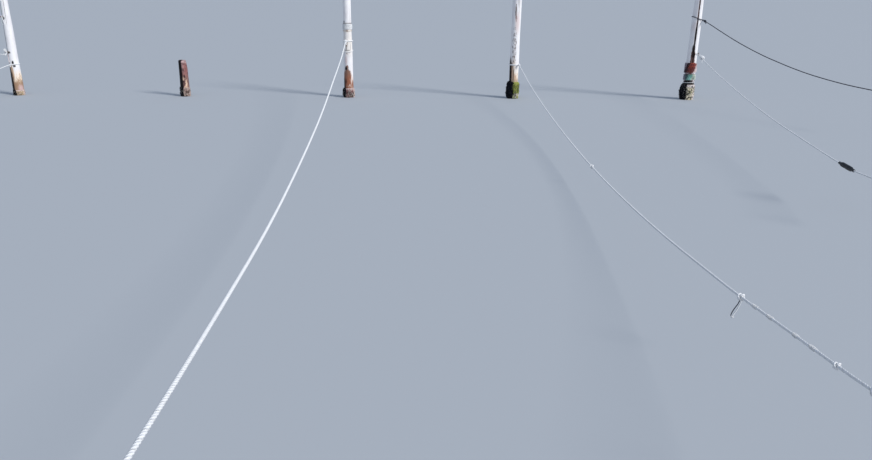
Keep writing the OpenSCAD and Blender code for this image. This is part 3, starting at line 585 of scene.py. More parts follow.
def log_piece(name, seed):
    """One log, with its checks, grain and head, and its wear, soot and painted shade kept on its points"""
    log, broken = logs[name], name == "stump_2"
    top, around, gap, chamfer = log["top"], 150, 0.02, 0.016
    v = np.linspace(0, top, int(top / gap))[:, None] * np.ones(around)
    u = np.ones((len(v), 1)) * (2 * np.pi * np.arange(around) / around) / (2 * np.pi)
    a = u * 2 * np.pi
    r = log_radius(log, v)
    worn = np.ones_like(v) if broken else share_of((log["paint_ends"] + 0.25 - v) / 0.4)
    # Hollows a hand wide, then grain and gouges that wear has deepened
    cut = 0.0018 * relief(u, v, seed, 5, 1.1) + 0.0016 * worn * relief(u, v, seed + 2, 40, 3) ** 2
    cut += 0.0009 * relief(u, v, seed + 1, 90, 5) * (0.4 + 0.6 * worn)
    crack = np.zeros_like(v)
    for mid, long, toward, wide, deep in log["checks"]:
        bottom = deep * (1 - ((v - mid) / (long / 2)) ** 2)
        wander = 0.012 * (relief(u * 0, v, seed + 3, 3, 4) - 0.5)
        off = np.abs(turn_from(a + wander / r, toward)) * r
        open_by = np.clip(bottom - off * 2 * deep / wide, 0, None)
        cut = np.maximum(cut, open_by)
        crack = np.maximum(crack, share_of(open_by / 0.012))
    r = r - cut - share_of((v - (top - chamfer)) / chamfer) * chamfer * (not broken)
    rings = np.stack([r * np.cos(a), r * np.sin(a), v], -1)
    # The head goes on inwards in smaller rings
    head = [rings[-1:] * (share, share, 1) for share in (0.93, 0.82, 0.66, 0.48, 0.3, 0.14)]
    rings = np.concatenate([rings] + head)
    bare = np.zeros((len(head), around))
    crack, end = np.vstack([crack, bare]), np.vstack([np.zeros_like(v), bare + 1])
    a = np.vstack([a] + [a[-1:]] * len(head))
    u = a / (2 * np.pi)
    if broken:
        rings = torn_off(rings, a, u, seed, top)
    v = rings[..., 2]
    rings = lean_over(name, rings)
    rings[0, :, 2] = 0
    ragged = 0.16 * (relief(u, v, seed + 6, 9, 3) - 0.5) + 0.08 * (relief(u, v, seed + 8, 26, 8) - 0.5)
    bared = log["paint_ends"] - log["slant"] * np.cos(a) - v + ragged
    painted = {"bare": share_of(bared / log["fades"] + 0.5) * 0.85 + log["flaked"],
               "soot_and_shade": np.zeros_like(v), "stain": np.zeros_like(v), "pale": np.zeros_like(v)}
    for kind, spots in marks[name].items():
        for height, toward, half_high, half_wide, strength in spots:
            off = turn_from(a, toward) * r.mean()
            away = np.sqrt(((v - height) / half_high) ** 2 + (off / half_wide) ** 2)
            soft = share_of((1.3 - away) / 0.4 if kind == "soot_and_shade" else 1.6 - away * 1.1)
            painted[kind] = np.maximum(painted[kind], strength * soft)
    painted["crack"], painted["end"] = crack, end
    return shell_of_rings(name + "_log", rings, painted)


def stretched(vector, across, along):
    """Coordinates for a pattern with its own scale across and along a log"""
    return put("ShaderNodeVectorMath", {"operation": "MULTIPLY"}, i0=vector,
               i1=(across, across, along))


tree, given = new_tree("Weathered grain", "ShaderNodeTree", [
    ("Vector", "Vector", None), ("Wood", "Color", (0.5, 0.3, 0.2, 1)),
    ("Dark", "Color", (0.2, 0.1, 0.05, 1))],
    [("Color", "Color"), ("Height", "Float")])
grain_tree = tree
streaks = noise_of(stretched(given["Vector"], 1.0, 0.035), 95.0, 6.0, 0.7)
bands = noise_of(stretched(given["Vector"], 1.0, 0.12), 16.0, 4.0)
hue = mix_of(step_of(streaks, 0.36, 0.62), given["Dark"], given["Wood"])
hue = mix_of(times(step_of(bands, 0.5, 0.75), 0.35), hue, (0.36, 0.31, 0.28))
place(tree, "NodeGroupOutput", Color=hue, Height=streaks)

tree, given = new_tree("Flaking paint", "ShaderNodeTree", [
    ("Vector", "Vector", None), ("Bare", "Float", 0.2)],
    [("Paint", "Float"), ("Lip", "Float")])
paint_tree = tree
long_flakes = noise_of(stretched(given["Vector"], 1.0, 0.3), 44.0, 8.0, 0.68)
cover = scaled(noise_of(given["Vector"], 210.0, 3.0), 0.16, long_flakes)
cover = less(cover, times(given["Bare"], 0.62))
paint_left = step_of(cover, 0.2, 0.235)
lip = less(paint_left, step_of(cover, 0.225, 0.3))
place(tree, "NodeGroupOutput", Paint=paint_left, Lip=lip)


def log_finish(name, log):
    """Bare grain under what is left of the white paint, with soot and painted shade, stains and cracks over
    both
    """
    material, tree = new_finish(name)
    spot = spot_in(tree)
    grain = use(tree, grain_tree, Vector=spot, Wood=(*log["wood"], 1), Dark=(*log["dark_wood"], 1))
    skin = use(tree, paint_tree, Vector=spot, Bare=attribute(tree, "bare"))
    bare, pale, stain, soot_and_shade, crack, end = (
        attribute(tree, label) for label in ("bare", "pale", "stain", "soot_and_shade", "crack", "end"))
    rough = noise_of(spot, 60.0, 4.0)
    up = place(tree, "ShaderNodeSeparateXYZ", Vector=spot).outputs[2]
    ends_at = log["paint_ends"]
    soaked = step_of(scaled(rough, -0.3, up), log["soaks"] - 0.05, log["soaks"] - 0.25)
    wood = layered(
        grain["Color"],
        (soaked, mix_of(rough, [c * 0.5 for c in log["wet"]], log["wet"])),
        (times(step_of(up, ends_at + 0.02, ends_at + 0.2), log["dim"]), (0.13, 0.09, 0.08)),
        (end, mix_of(rough, (0.2, 0.14, 0.1), (0.5, 0.4, 0.32))),
        (pale, (0.62, 0.42, 0.4)))
    if name == "bare log":
        patches = noise_of(stretched(spot, 1.0, 0.6), 24.0, 3.0)
        colour = layered(
            wood,
            (times(step_of(patches, 0.5, 0.6), 0.65), (0.07, 0.03, 0.032)),
            (times(stain, step_of(patches, 0.56, 0.46)), (0.78, 0.54, 0.38)))
        paint = times(skin["Paint"], 0.0)
    else:
        cloud = noise_of(stretched(spot, 1.0, 0.4), 9.0, 4.0)
        washed = times(step_of(bare, 0.12, 0.6), 0.85)
        white = layered(
            mix_of(step_of(cloud, 0.4, 0.75), (0.9, 0.87, 0.86), (0.77, 0.73, 0.73)),
            (times(stain, step_of(rough, 0.2, 0.75)), (0.74, 0.6, 0.38)),
            (pale, (0.8, 0.66, 0.63)),
            (times(washed, step_of(up, ends_at + 0.35, ends_at + 0.05)), log["wash"]))
        paint = times(skin["Paint"], less(1.0, end))
        colour = layered(wood, (paint, white), (times(skin["Lip"], 0.5), (0.2, 0.15, 0.11)))
    # Soot and painted shade: dark marks, partly real soot and partly shade painted down the logs' shaded
    # sides
    sooted_and_shaded = times(soot_and_shade, step_of(rough, 0.0, 0.42))
    colour = layered(colour, (crack, (0.035, 0.02, 0.015)), (sooted_and_shaded, (0.012, 0.01, 0.01)))
    height = scaled(paint, 0.5, times(grain["Height"], 0.6))
    surface(tree, Base_Color=colour, Roughness=step_of(paint, -1.8, 2.6),
            Specular_IOR_Level=scaled(sooted_and_shaded, -0.4, 0.5), Normal=bump(height, 0.0016))
    return material


for seed, (name, log) in enumerate(logs.items()):
    finish, slot = ("bare log", "bare_log") if name == "stump_2" else ("painted " + name, "painted_log")
    piece = log_piece(name, 100 * seed + 7)
    piece.data.materials.append(log_finish(finish, log))
    ride(piece, slot, name)


# Growth round the feet.
# A crust of weed and shells round each foot, thickest on the side away from the sun, with
# mussels, barnacles and hanging weed rooted in it.
toward_sun = {"pile_1": 31, "stump_2": 20, "pile_3": 8, "pile_4": -5, "pile_5": -18}
# How high and how proud each crust is, how far it leans to one side, and its number
growths = {
    "pile_1": (0.12, 0.009, 0, 1), "stump_2": (0.2, 0.009, 0, 2), "pile_3": (0.21, 0.022, 0, 3),
    "pile_4": (0.37, 0.04, 0.2, 4), "pile_5": (0.335, 0.04, 0.2, 5)}


def crust_piece(name, high, proud, lop, number):
    """The uneven crust, closed against the log, with where each thing grows painted on its points"""
    around, levels, buried = 170, int(high / 0.007), 0.006
    v = np.linspace(0, high, levels)[:, None] * np.ones(around)
    a = np.ones((levels, 1)) * 2 * np.pi * np.arange(around) / around
    u = a / (2 * np.pi)
    swell = 1 + 0.22 * np.sin(3 * a + np.radians(50 * number))
    swell += 0.16 * np.sin(7 * a + np.radians(1700 * v + 90 * number))
    thick = proud * (0.35 + 0.65 * np.sin(np.radians(25 + 135 * v / high))) * swell * (1 - lop * np.cos(a))
    lumps = 0.6 * relief(u, v, number, 30, 40) + 0.4 * relief(u, v, number + 9, 75, 110)
    ragged = share_of((high - v) / (0.06 * relief(u, v * 0, number + 20, 26, 1) + 0.012))
    thick = 0.002 + thick * (0.45 + 0.7 * lumps) * ragged ** 0.6
    r = log_radius(logs[name], v)
    outer, inner = (np.stack([reach * np.cos(a), reach * np.sin(a), v], -1)
                    for reach in (r + thick, r - buried))
    half = levels // 2
    rings = lean_over(name, np.concatenate([inner[:1], outer, inner[-1:], inner[half:half + 1]]))
    rings[0:2, :, 2] = 0
    side = 0.5 - 0.5 * np.cos(a - np.radians(toward_sun[name]))
    painted = {"lee": side, "rise": v / high, "lump": lumps,
               "weedy": (1 - side) * share_of((v / high - 0.3) / 0.12),
               "low": (1 - side) * share_of((0.36 - v / high) / 0.1)}
    # Nothing grows on the inner wall
    bare = np.zeros((1, around))
    painted = {label: np.vstack([bare, values, bare, bare]) for label, values in painted.items()}
    return shell_of_rings(name + "_crust", rings, painted, tube=True)


def little_shape(name, rings, tip):
    """A small closed shape to be repeated: rings of (x, y, z), and a point at the end"""
    points = [p for ring in rings for p in ring] + [tip]
    n, faces = len(rings[0]), []
    for j in range(len(rings)):
        for k in range(n):
            low, next_low = j * n + k, j * n + (k + 1) % n
            last = j == len(rings) - 1
            faces.append((low, next_low, len(points) - 1) if last else (low, next_low, next_low + n, low + n))
    faces.append(tuple(range(n))[::-1])
    shape = new_piece(name, points, [], faces)
    shape.data.shade_smooth()
    return shape


def oval(rx, ry, z, n, x=0.0, y=0.0):
    return [(x + rx * cos(2 * pi * k / n), y + ry * sin(2 * pi * k / n), z) for k in range(n)]


# Each is 1 long: a mussel half sunk on its beak, a barnacle's cone with its mouth, a weed frond
mussel = little_shape("mussel_shape", [
    oval(0.07, 0.05, -0.15, 6), oval(0.2, 0.13, 0.1, 6), oval(0.27, 0.17, 0.45, 6, 0.03),
    oval(0.22, 0.12, 0.72, 6, 0.02)], (0.0, 0.0, 0.85))
barnacle = little_shape("barnacle_shape", [
    oval(0.5, 0.46, -0.1, 7), oval(0.44, 0.4, 0.18, 7), oval(0.24, 0.2, 0.5, 7),
    oval(0.13, 0.1, 0.42, 7)], (0.0, 0.0, 0.2))
frond = little_shape("frond_shape", [
    oval(0.1, 0.02, -0.8, 5, 0.0, 0.06), oval(0.17, 0.03, -0.5, 5, 0.04, 0.1),
    oval(0.13, 0.03, -0.2, 5, 0, 0.07), oval(0.05, 0.02, 0.1, 5)], (0.0, 0.0, 0.14))

tree, given = new_tree("Shell bank", "GeometryNodeTree", [
    ("Crust", "Geometry", None), ("Shell", "Object", None), ("Per square metre", "Float", 2000.0),
    ("Grows where", "String", "lee"), ("From", "Float", 0.3), ("To", "Float", 0.7),
    ("Smallest", "Float", 0.01), ("Largest", "Float", 0.03), ("Hangs", "Float", 0.0), ("Seed", "Int", 1),
    ("Material", "Material", None)],
    [("Bank", "Geometry")])
bank_tree = tree
named = place(tree, "GeometryNodeInputNamedAttribute", {"data_type": "FLOAT"}, Name=given["Grows where"])
share = put("ShaderNodeMapRange", Value=named.outputs["Attribute"], From_Min=given["From"],
            From_Max=given["To"])
many = times(share, given["Per square metre"])
where = place(tree, "GeometryNodeInputPosition").outputs[0]
height = place(tree, "ShaderNodeSeparateXYZ", Vector=where).outputs[2]
lowest = scaled(given["Hangs"], 0.03, 0.03)
many = times(many, worked_out("GREATER_THAN", height, lowest))
spots = place(tree, "GeometryNodeDistributePointsOnFaces", {"distribute_method": "RANDOM"},
              Mesh=given["Crust"], Density=many, Seed=given["Seed"]).outputs
hangs = worked_out("GREATER_THAN", given["Hangs"], 0.5)
outward = put("FunctionNodeAlignRotationToVector", {"axis": "Z"}, Vector=spots["Normal"])
hanging = put("FunctionNodeAlignRotationToVector", {"axis": "Y", "pivot_axis": "Z"},
              Vector=stretched(spots["Normal"], 1.0, 0.0))
turned = put("GeometryNodeSwitch", {"input_type": "ROTATION"}, i0=hangs, i1=outward, i2=hanging)
tip = put("FunctionNodeRandomValue", {"data_type": "FLOAT_VECTOR"}, i0=(-0.6, -0.6, -3.1),
          i1=(0.6, 0.6, 3.1), Seed=given["Seed"])
tipped = put("GeometryNodeSwitch", {"input_type": "VECTOR"}, i0=hangs, i1=tip,
             i2=stretched(tip, 0.6, 0.12))
tipped = put("FunctionNodeEulerToRotation", i0=tipped)
turned = put("FunctionNodeRotateRotation", {"rotation_space": "LOCAL"}, i0=turned, i1=tipped)
shape = place(tree, "GeometryNodeObjectInfo", Object=given["Shell"], As_Instance=True).outputs["Geometry"]


def random_number(tree, low, high, seed):
    return place(tree, "FunctionNodeRandomValue", {"data_type": "FLOAT"}, Min=low, Max=high,
                 Seed=seed).outputs[1]


bank = put("GeometryNodeInstanceOnPoints", Points=spots["Points"], Instance=shape, Rotation=turned,
           Scale=random_number(tree, given["Smallest"], given["Largest"], 7))
bank = kept_as(bank, "tint", random_number(tree, 0.0, 1.0, 11), "INSTANCE")
end_tree(tree, "Bank", bank, given["Material"])


def shell_finish(name, dull, bright, rough, shine):
    """A finish that goes from one colour to another by each shell's own tint, with fine specks"""
    material, tree = new_finish(name)
    fine = noise_of(spot_in(tree), 180.0, 3.0)
    hue = mix_of(attribute(tree, "tint"), dull, bright)
    hue = darkened(hue, scaled(fine, 0.7, 0.6))
    surface(tree, Base_Color=hue, Roughness=rough, Normal=bump(fine, 0.001), Specular_IOR_Level=shine)
    return material


mussel_finish = shell_finish("mussel shell", (0.008, 0.009, 0.013), (0.018, 0.02, 0.03), 0.55, 0.12)
barnacle_finish = shell_finish("barnacle shell", (0.36, 0.31, 0.3), (0.74, 0.68, 0.6), 0.75, 0.3)
weed_finish = shell_finish("green weed", (0.05, 0.075, 0.015), (0.36, 0.38, 0.07), 0.5, 0.4)


def crust_finish(name, sunny, patch, lip, black_and_shade_to, blotched, flecked):
    """Weed and small shells in patches under a paler lip, with the sunward side painted in the lip's pale
    colour as painted light, and the shaded side black, partly black slime and partly painted shade
    """
    material, tree = new_finish(name)
    spot, lee, rise = spot_in(tree), attribute(tree, "lee"), attribute(tree, "rise")
    broad, mid, fine = (noise_of(spot, scale, 4.0) for scale in (8.0, 16.0, 90.0))
    flecks = times(step_of(noise_of(spot, 42.0, 3.0), 0.52, 0.58), flecked)
    side = worked_out("ADD", lee, scaled(mid, 0.3, -0.15))
    hue = layered(
        mix_of(step_of(broad, 0.46, 0.56), sunny, patch),
        # Painted light: the side facing the sun takes the lip's pale colour
        (step_of(lee, 0.2, 0.05), lip),
        (step_of(scaled(mid, 0.8, rise), 1.1, 1.3), lip),
        (times(step_of(mid, 0.54, 0.58), blotched), (0.012, 0.012, 0.01)),
        (times(flecks, step_of(rise, 0.62, 0.4)), (0.8, 0.74, 0.62)),
        # Black slime and painted shade on the side away from the sun
        (step_of(side, black_and_shade_to - 0.04, black_and_shade_to + 0.04), (0.006, 0.007, 0.008)))
    hue = darkened(hue, scaled(step_of(fine, 0.3, 0.7), 0.7, 0.5))
    surface(tree, Base_Color=hue, Roughness=0.7, Specular_IOR_Level=0.1, Normal=bump(fine, 0.004))
    return material


# The crust's colours: in the sun, in patches and along its lip (also painted on the sunward side as painted
# light), how far round the black of slime and painted shade reaches, and how strong the black blotches and
# the pale flecks low down are
crusts = {
    "pile_1": ((0.5, 0.37, 0.24), (0.36, 0.24, 0.17), (0.8, 0.62, 0.56), 0.72, 0.45, 0.3),
    "stump_2": ((0.42, 0.3, 0.25), (0.14, 0.08, 0.07), (0.5, 0.36, 0.31), 0.68, 0.5, 0.3),
    "pile_3": ((0.24, 0.12, 0.11), (0.09, 0.045, 0.045), (0.62, 0.46, 0.42), 0.76, 0.75, 0.4),
    "pile_4": ((0.28, 0.3, 0.06), (0.1, 0.13, 0.03), (0.36, 0.38, 0.09), 0.5, 0.7, 0.95),
    "pile_5": ((0.7, 0.62, 0.44), (0.26, 0.22, 0.12), (0.84, 0.74, 0.7), 0.58, 0.95, 0.4)}
# What grows on each: shape, number to a square metre, where, its limits, its sizes, if it hangs
few = [("barnacle", 1500, "lump", 0.4, 0.7, 0.006, 0.014, 0)]
grows = {
    "pile_1": few,
    "stump_2": few + [("mussel", 1800, "lee", 0.6, 0.9, 0.014, 0.026, 0)],
    "pile_3": [("barnacle", 2600, "lump", 0.45, 0.65, 0.007, 0.016, 0),
               ("mussel", 3800, "lee", 0.5, 0.85, 0.014, 0.028, 0)],
    "pile_4": [("mussel", 5000, "lee", 0.4, 0.75, 0.018, 0.036, 0),
               ("frond", 4000, "weedy", 0.35, 0.6, 0.02, 0.05, 1),
               ("barnacle", 3000, "low", 0.3, 0.6, 0.008, 0.018, 0)],
    "pile_5": [("mussel", 4700, "lee", 0.45, 0.8, 0.018, 0.036, 0),
               ("frond", 900, "weedy", 0.3, 0.7, 0.02, 0.04, 1),
               ("barnacle", 2700, "lump", 0.4, 0.65, 0.008, 0.02, 0)]}
kinds = {"mussel": (mussel, mussel_finish), "barnacle": (barnacle, barnacle_finish),
         "frond": (frond, weed_finish)}
for name, growth in growths.items():
    crust = crust_piece(name, *growth)
    crust.data.materials.append(crust_finish(name + " crust", *crusts[name]))
    ride(crust, "growth", name + "_growth")
    for kind, many, where_it_grows, low, top, small, large, hangs in grows[name]:
        shape, finish = kinds[kind]
        bank = bpy.data.objects.new(f"{name}_{kind}s", crust.data.copy())
        bpy.context.collection.objects.link(bank)
        grow(bank, bank_tree, {
            "Shell": shape, "Per square metre": float(many), "Grows where": where_it_grows, "From": low,
            "To": top, "Smallest": small, "Largest": large, "Hangs": float(hangs), "Seed": growth[-1],
            "Material": finish})
        ride(bank, "growth")
for shape, finish in kinds.values():
    bpy.data.objects.remove(shape)


# Turns and hitches.
# Each line is made fast with turns of its own rope round the pile and half hitches on itself.
# Other turns hold nothing now: a rope collar, slack turns and the coloured marks on pile 5.
bedded = 0.0005  # How deep a turn beds into the log


def at_log(name, z, a, out):
    """A point off a log's surface at a height and in a direction"""
    reach = float(log_radius(logs[name], z)) + out
    middle = foot_x[name] + z * tan(radians(logs[name]["lean"]))
    return Vector((middle + reach * cos(a), reach * sin(a), z))


def coil(name, pile, low_z, d, turns, finish, pitch=1.02):
    """Turns of rope wound up a log from behind, with both ends tucked under"""
    points, steps = [], 40
    for k in range(int(turns * steps) + 1):
        z = low_z + d / 2 + k / steps * d * pitch
        out = d / 2 - bedded if 3 < k < turns * steps - 3 else 0.1 * d
        points.append(at_log(pile, z, pi / 2 + 2 * pi * k / steps, out))
    return rope(name, points, d, finish)


def slack_ring(name, pile, mid_z, drop, low_a, slack, finish):
    """One turn of thin rope that hangs slack or tilts, lowest in one direction"""
    points, d = [], 0.012
    for k in range(64):
        a = 2 * pi * k / 64
        low = cos(a - radians(low_a))
        points.append(at_log(pile, mid_z - drop * low, a, d / 2 - bedded + slack * (1 + low) / 2))
    return rope(name, points, d, finish, closed=True)


def hitch(name, pile, line, mid_z, finish, drop=0, turns=1, sides=4):
    """Turns round a pile from the start of a line, and half hitches of the end on the line"""
    d, route = laid[line][2:]
    start, way = route[0], (route[1] - route[0]).normalized()
    middle = foot_x[pile] + start.z * tan(radians(logs[pile]["lean"]))
    reach = float(log_radius(logs[pile], start.z)) + d / 2
    toward = atan2(start.y, start.x - middle)
    open_by = acos(min(1, reach / hypot(start.x - middle, start.y)))
    around = 2 * pi * turns - 2 * open_by
    points, steps = [start + way * d], 40 * turns
    for k in range(steps + 1):
        a = toward + open_by + around * k / steps
        z = mid_z - drop * cos(a) + (turns - 1) * d * (0.5 - k / steps)
        points.append(at_log(pile, z, a, d / 2 - bedded))
    # The end crosses over the line and goes round it twice, then hangs
    turn, rounds, count = along_way(way), 2.25, 54
    for k in range(count + 1):
        a = radians(120) + 2 * pi * rounds * k / count
        out = d * (1.0 + 0.06 * sin(3 * a))
        points.append(start + turn @ Vector((out * cos(a), out * sin(a), 0.3 * d + 1.12 * d * k / 24)))
    last_point = points[-1]
    for k in range(1, 7):
        points.append(last_point + Vector((0.25 * d * k, 0, -0.6 * d * k)) - way * 0.1 * d * k)
    return rope(name, smooth(points, 2), d, finish, sides=sides)


ride(hitch("pile_3_made_fast", "pile_3", "line_3", 1.249, white_rope, sides=6), "white_rope", "pile_3_hitch")
ride(hitch("pile_1_made_fast", "pile_1", "line_1_lower", 0.698, white_rope), "white_rope", "pile_1_hitch")
ride(hitch("pile_4_made_fast", "pile_4", "line_4", 0.754, white_rope, turns=2), "white_rope", "pile_4_hitch")
ride(hitch("pile_5_dark_made_fast", "pile_5", "line_5_dark", 1.767, dark_rope, drop=0.045),
     "dark_rope", "pile_5_dark_turn")

grey_cord = rope_finish("grey cord", (0.2, 0.18, 0.17), (0.07, 0.06, 0.06), 0.5, 0.0025)
tan_rope = rope_finish("weathered rope", (0.66, 0.58, 0.47), (0.3, 0.2, 0.13), 0.6)
ride(coil("pile_3_band_cord", "pile_3", 1.62, 0.007, 1.75, grey_cord, 1.0), "tarred_twine", "pile_3_band")
ride(coil("pile_3_collar_rope", "pile_3", 1.49, 0.02, 5.6, white_rope), "white_rope", "pile_3_collar")
ride(slack_ring("pile_3_slipped_turn", "pile_3", 1.472, 0.009, -92, 0.0, tan_rope), "white_rope")
ride(slack_ring("pile_3_slack_rope", "pile_3", 1.04, 0.026, -90, 0.016, white_rope),
     "white_rope", "pile_3_slack_turn")


def faded_rope_with_painted_light(name, colour, bright, pale, soil, shade_to, unshaded_from, highlight_from):
    """Dyed rope whose colour is left in a band down its front, with light and shade painted across it:
    its sunward edge is painted pale as a highlight, and the band's shaded side dark and its far edge lilac as
    painted shade."""
    material, tree = new_finish(name)
    spot = spot_in(tree)
    patches = noise_of(spot, 34.0, 4.0)
    side = place(tree, "ShaderNodeVectorMath", {"operation": "DOT_PRODUCT"}, i0=spot,
                 i1=(0.951, -0.309, -0.3)).outputs["Value"]
    side = less(side, 0.951 * foot_x["pile_5"] - 0.19)
    side = scaled(less(patches, 0.5), 0.09, side)
    hue = layered(
        mix_of(step_of(patches, 0.45, 0.65), colour, bright),
        # Painted shade dark on the band's shaded side, a painted highlight on its sunward edge, and painted
        # lilac shade on its far edge
        (step_of(side, unshaded_from, unshaded_from - 0.02), soil),
        (step_of(side, highlight_from, highlight_from + 0.02), pale),
        (step_of(side, shade_to, shade_to - 0.015), (0.52, 0.45, 0.52)))
    rope_surface(tree, hue, soil, 0.85, 0.005, 0.0)
    return material


red_rope = faded_rope_with_painted_light("faded red rope", (0.24, 0.045, 0.04), (0.6, 0.11, 0.06), (0.88, 0.72, 0.7),
                      (0.05, 0.012, 0.014), -0.105, -0.045, 0.08)
green_rope = faded_rope_with_painted_light("faded green rope", (0.26, 0.66, 0.55), (0.62, 0.9, 0.76), (0.84, 0.9, 0.76),
                        (0.05, 0.12, 0.11), -0.015, 0.008, 0.09)
ride(coil("pile_5_red_rope", "pile_5", 0.588, 0.024, 8.6, red_rope), "red_rope", "pile_5_red_wrap")
ride(coil("pile_5_green_rope", "pile_5", 0.432, 0.02, 5.6, green_rope), "green_rope", "pile_5_green_wrap")
ride(slack_ring("pile_5_white_rope", "pile_5", 0.386, 0.008, 180, 0.0, white_rope),
     "white_rope", "pile_5_white_turn")


# Fittings of pile 1.
# Two square wrought spikes. A bight of white rope hangs on the upper one. A thin line is made
# fast to the lower one, and a pinkish rope drops from it to the hitch below.
def rust_finish(name, metal, rust, rusted):
    """Iron or galvanised steel with rust in patches"""
    material, tree = new_finish(name)
    spot = spot_in(tree)
    broad, fine = noise_of(spot, 45.0, 4.0), noise_of(spot, 320.0, 3.0)
    over = step_of(broad, 0.75 - rusted * 0.7, 0.9 - rusted * 0.6)
    hue = mix_of(over, metal, mix_of(fine, [c * 0.5 for c in rust], rust))
    surface(tree, Base_Color=hue, Metallic=times(less(1.0, over), 0.85),
            Roughness=scaled(over, 0.35, 0.5), Normal=bump(fine, 0.0006))
    return material


rusted_iron = rust_finish("rusted iron", (0.16, 0.13, 0.12), (0.3, 0.11, 0.05), 0.9)
galvanised = rust_finish("galvanised steel", (0.42, 0.43, 0.44), (0.33, 0.15, 0.07), 0.45)


def refinish(node, material):
    """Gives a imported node's own mesh a better material"""
    for slot in bpy.data.objects[node].material_slots:
        slot.material = material


refinish("pile_1_spikes", rusted_iron)


def on_leaning(pile, a, points):
    """Points of the tangent plane at a direction of a leaning pile, as (outward, sideways, up)"""
    turn = Matrix.Rotation(radians(logs[pile]["lean"]), 3, "Y") @ Matrix.Rotation(radians(a), 3, "Z")
    return [Vector((foot_x[pile], 0, 0)) + turn @ Vector(p) for p in points]


# The hung bight: half round over the spike, then down, round and up again as its weight pulls it
spike_z, spike_half, spike_out, bight_d = 1.73, 0.0066, 0.026, 0.016
out = float(log_radius(logs["pile_1"], spike_z)) + spike_out
over_z = spike_z + spike_half - 0.0008
bight = [(out, -bight_d * cos(a), over_z + bight_d * sin(a)) for a in np.linspace(0, pi, 9)]
bight += [(out - x, y, spike_z - drop) for x, y, drop in (
    (0.004, 0.03, 0.05), (0.012, 0.041, 0.106), (0.014, 0.042, 0.142), (0.014, 0.032, 0.166),
    (0.014, 0.006, 0.176), (0.014, -0.024, 0.17), (0.013, -0.041, 0.144), (0.01, -0.038, 0.098),
    (0.002, -0.024, 0.04))]
bight = on_leaning("pile_1", -120, bight)
loop = smooth(bight + bight[:1], 4)[:-1]
ride(rope("pile_1_bight", loop, bight_d, white_rope, closed=True), "white_rope", "pile_1_hung_loop")

pink_rope = rope_finish("pinkish rope", (0.94, 0.8, 0.78), (0.6, 0.36, 0.32), 0.5)
drop_out, drop_d = 0.0048, 0.013
drop = [at_log("pile_1", z, radians(a), drop_out) for z, a in (
    (0.93, -143), (0.918, -142), (0.89, -138), (0.85, -133), (0.81, -129), (0.77, -126), (0.738, -124))]
ride(rope("pile_1_drop_rope", smooth(drop, 4), drop_d, pink_rope), "pink_rope", "pile_1_drop_line")

# The thin line: three layers of turns round the lower spike, wound out, back and out again
route = from_foot("pile_1", route_1_thin)
low_z, low_a, bar_r, pitch, layer_high = 0.968, -148, 0.0124, 0.0103, 0.0104
out = float(log_radius(logs["pile_1"], low_z)) + 0.008
wound, a = [], radians(-90)
for layer in range(3):
    steps = 16 * (3 - layer)
    for k in range(steps + 1):
        share = k / steps if layer != 1 else 1 - k / steps
        reach = bar_r + layer_high * layer + 0.0016 * sin(3 * a + layer)
        x = out + (layer / 2 + share * (3 - layer)) * pitch
        wound.append((x, reach * cos(a), low_z + reach * sin(a)))
        a += 2 * pi / 16
wound = on_leaning("pile_1", low_a, wound)
turns = rope("line_1_thin_turns", smooth(wound + [route[0]], 2), 0.012, white_rope)
ride(turns, "white_rope", "line_1_thin_knot")

# Slack bights of the thin line's spare end, hung over its turns
spare, wide = [], 0.02
for k, (a, lean, long) in enumerate((
        (200, 0.3, 0.062), (300, 0.5, 0.07), (120, 0.4, 0.06), (250, 0.8, 0.07), (60, 0.6, 0.055))):
    tip = Vector((lean, cos(radians(a)), sin(radians(a)))).normalized()
    across = tip.cross(Vector((sin(k), 0.5, 0.2))).normalized()
    root = Vector((out + pitch * (0.1 + 0.3 * k), 0, low_z)) + tip * 0.024
    spare += [root + tip * up * long + across * aside * wide for up, aside in (
        (0, -0.4), (0.6, -1), (1, 0), (0.6, 1), (0, 0.4))]
bights = rope("line_1_thin_bights", smooth(on_leaning("pile_1", low_a, spare), 4), 0.016, white_rope)
ride(bights, "white_rope")


def overhand(name, middle, way, d, big=1.0):
    """A tight overhand knot round a white rope"""
    turn, points = along_way(way), []
    for k in range(60):
        a = 2 * pi * k / 60
        w = 1.05 + 0.34 * cos(3 * a)
        point = Vector((d * w * cos(2 * a) * big, d * w * sin(2 * a) * big, 0.75 * d * sin(3 * a) * big))
        points.append(middle + turn @ point)
    return ride(rope(name, points, 0.92 * d, white_rope, closed=True), "white_rope")


way = route[-1] - route[-2]
hitch_on_thin = overhand("line_1_thin_hitch", route[0].lerp(route[1], 0.7), route[1] - route[0], 0.0085)
path = smooth(route)
piece = ride(rope("line_1_thin_rope", path, 0.01, white_rope), "white_rope", "line_1_thin")
stopper = overhand("line_1_thin_stopper", route[-1] + way.normalized() * 0.008, way, 0.0095, 1.15)
laid["line_1_thin"] = (piece, path, 0.01, route)
ends["line_1_thin"] = [stopper, hitch_on_thin, bights]


# Knots and tails on pile 4's line.
# Short lengths of line bent on to it. The second has two tails, one dark and one pale and
# frayed, that the wind blows aside.
route = laid["line_4"][3]
for number, (k, d) in enumerate(((12, 0.015), (17, 0.015), (19, 0.012), (20, 0.015))):
    knot = overhand(f"line_4_knot_{number + 1}", route[k], route[k + 1] - route[k], d)
    ends["line_4"].append(knot)
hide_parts("line_4_knots")

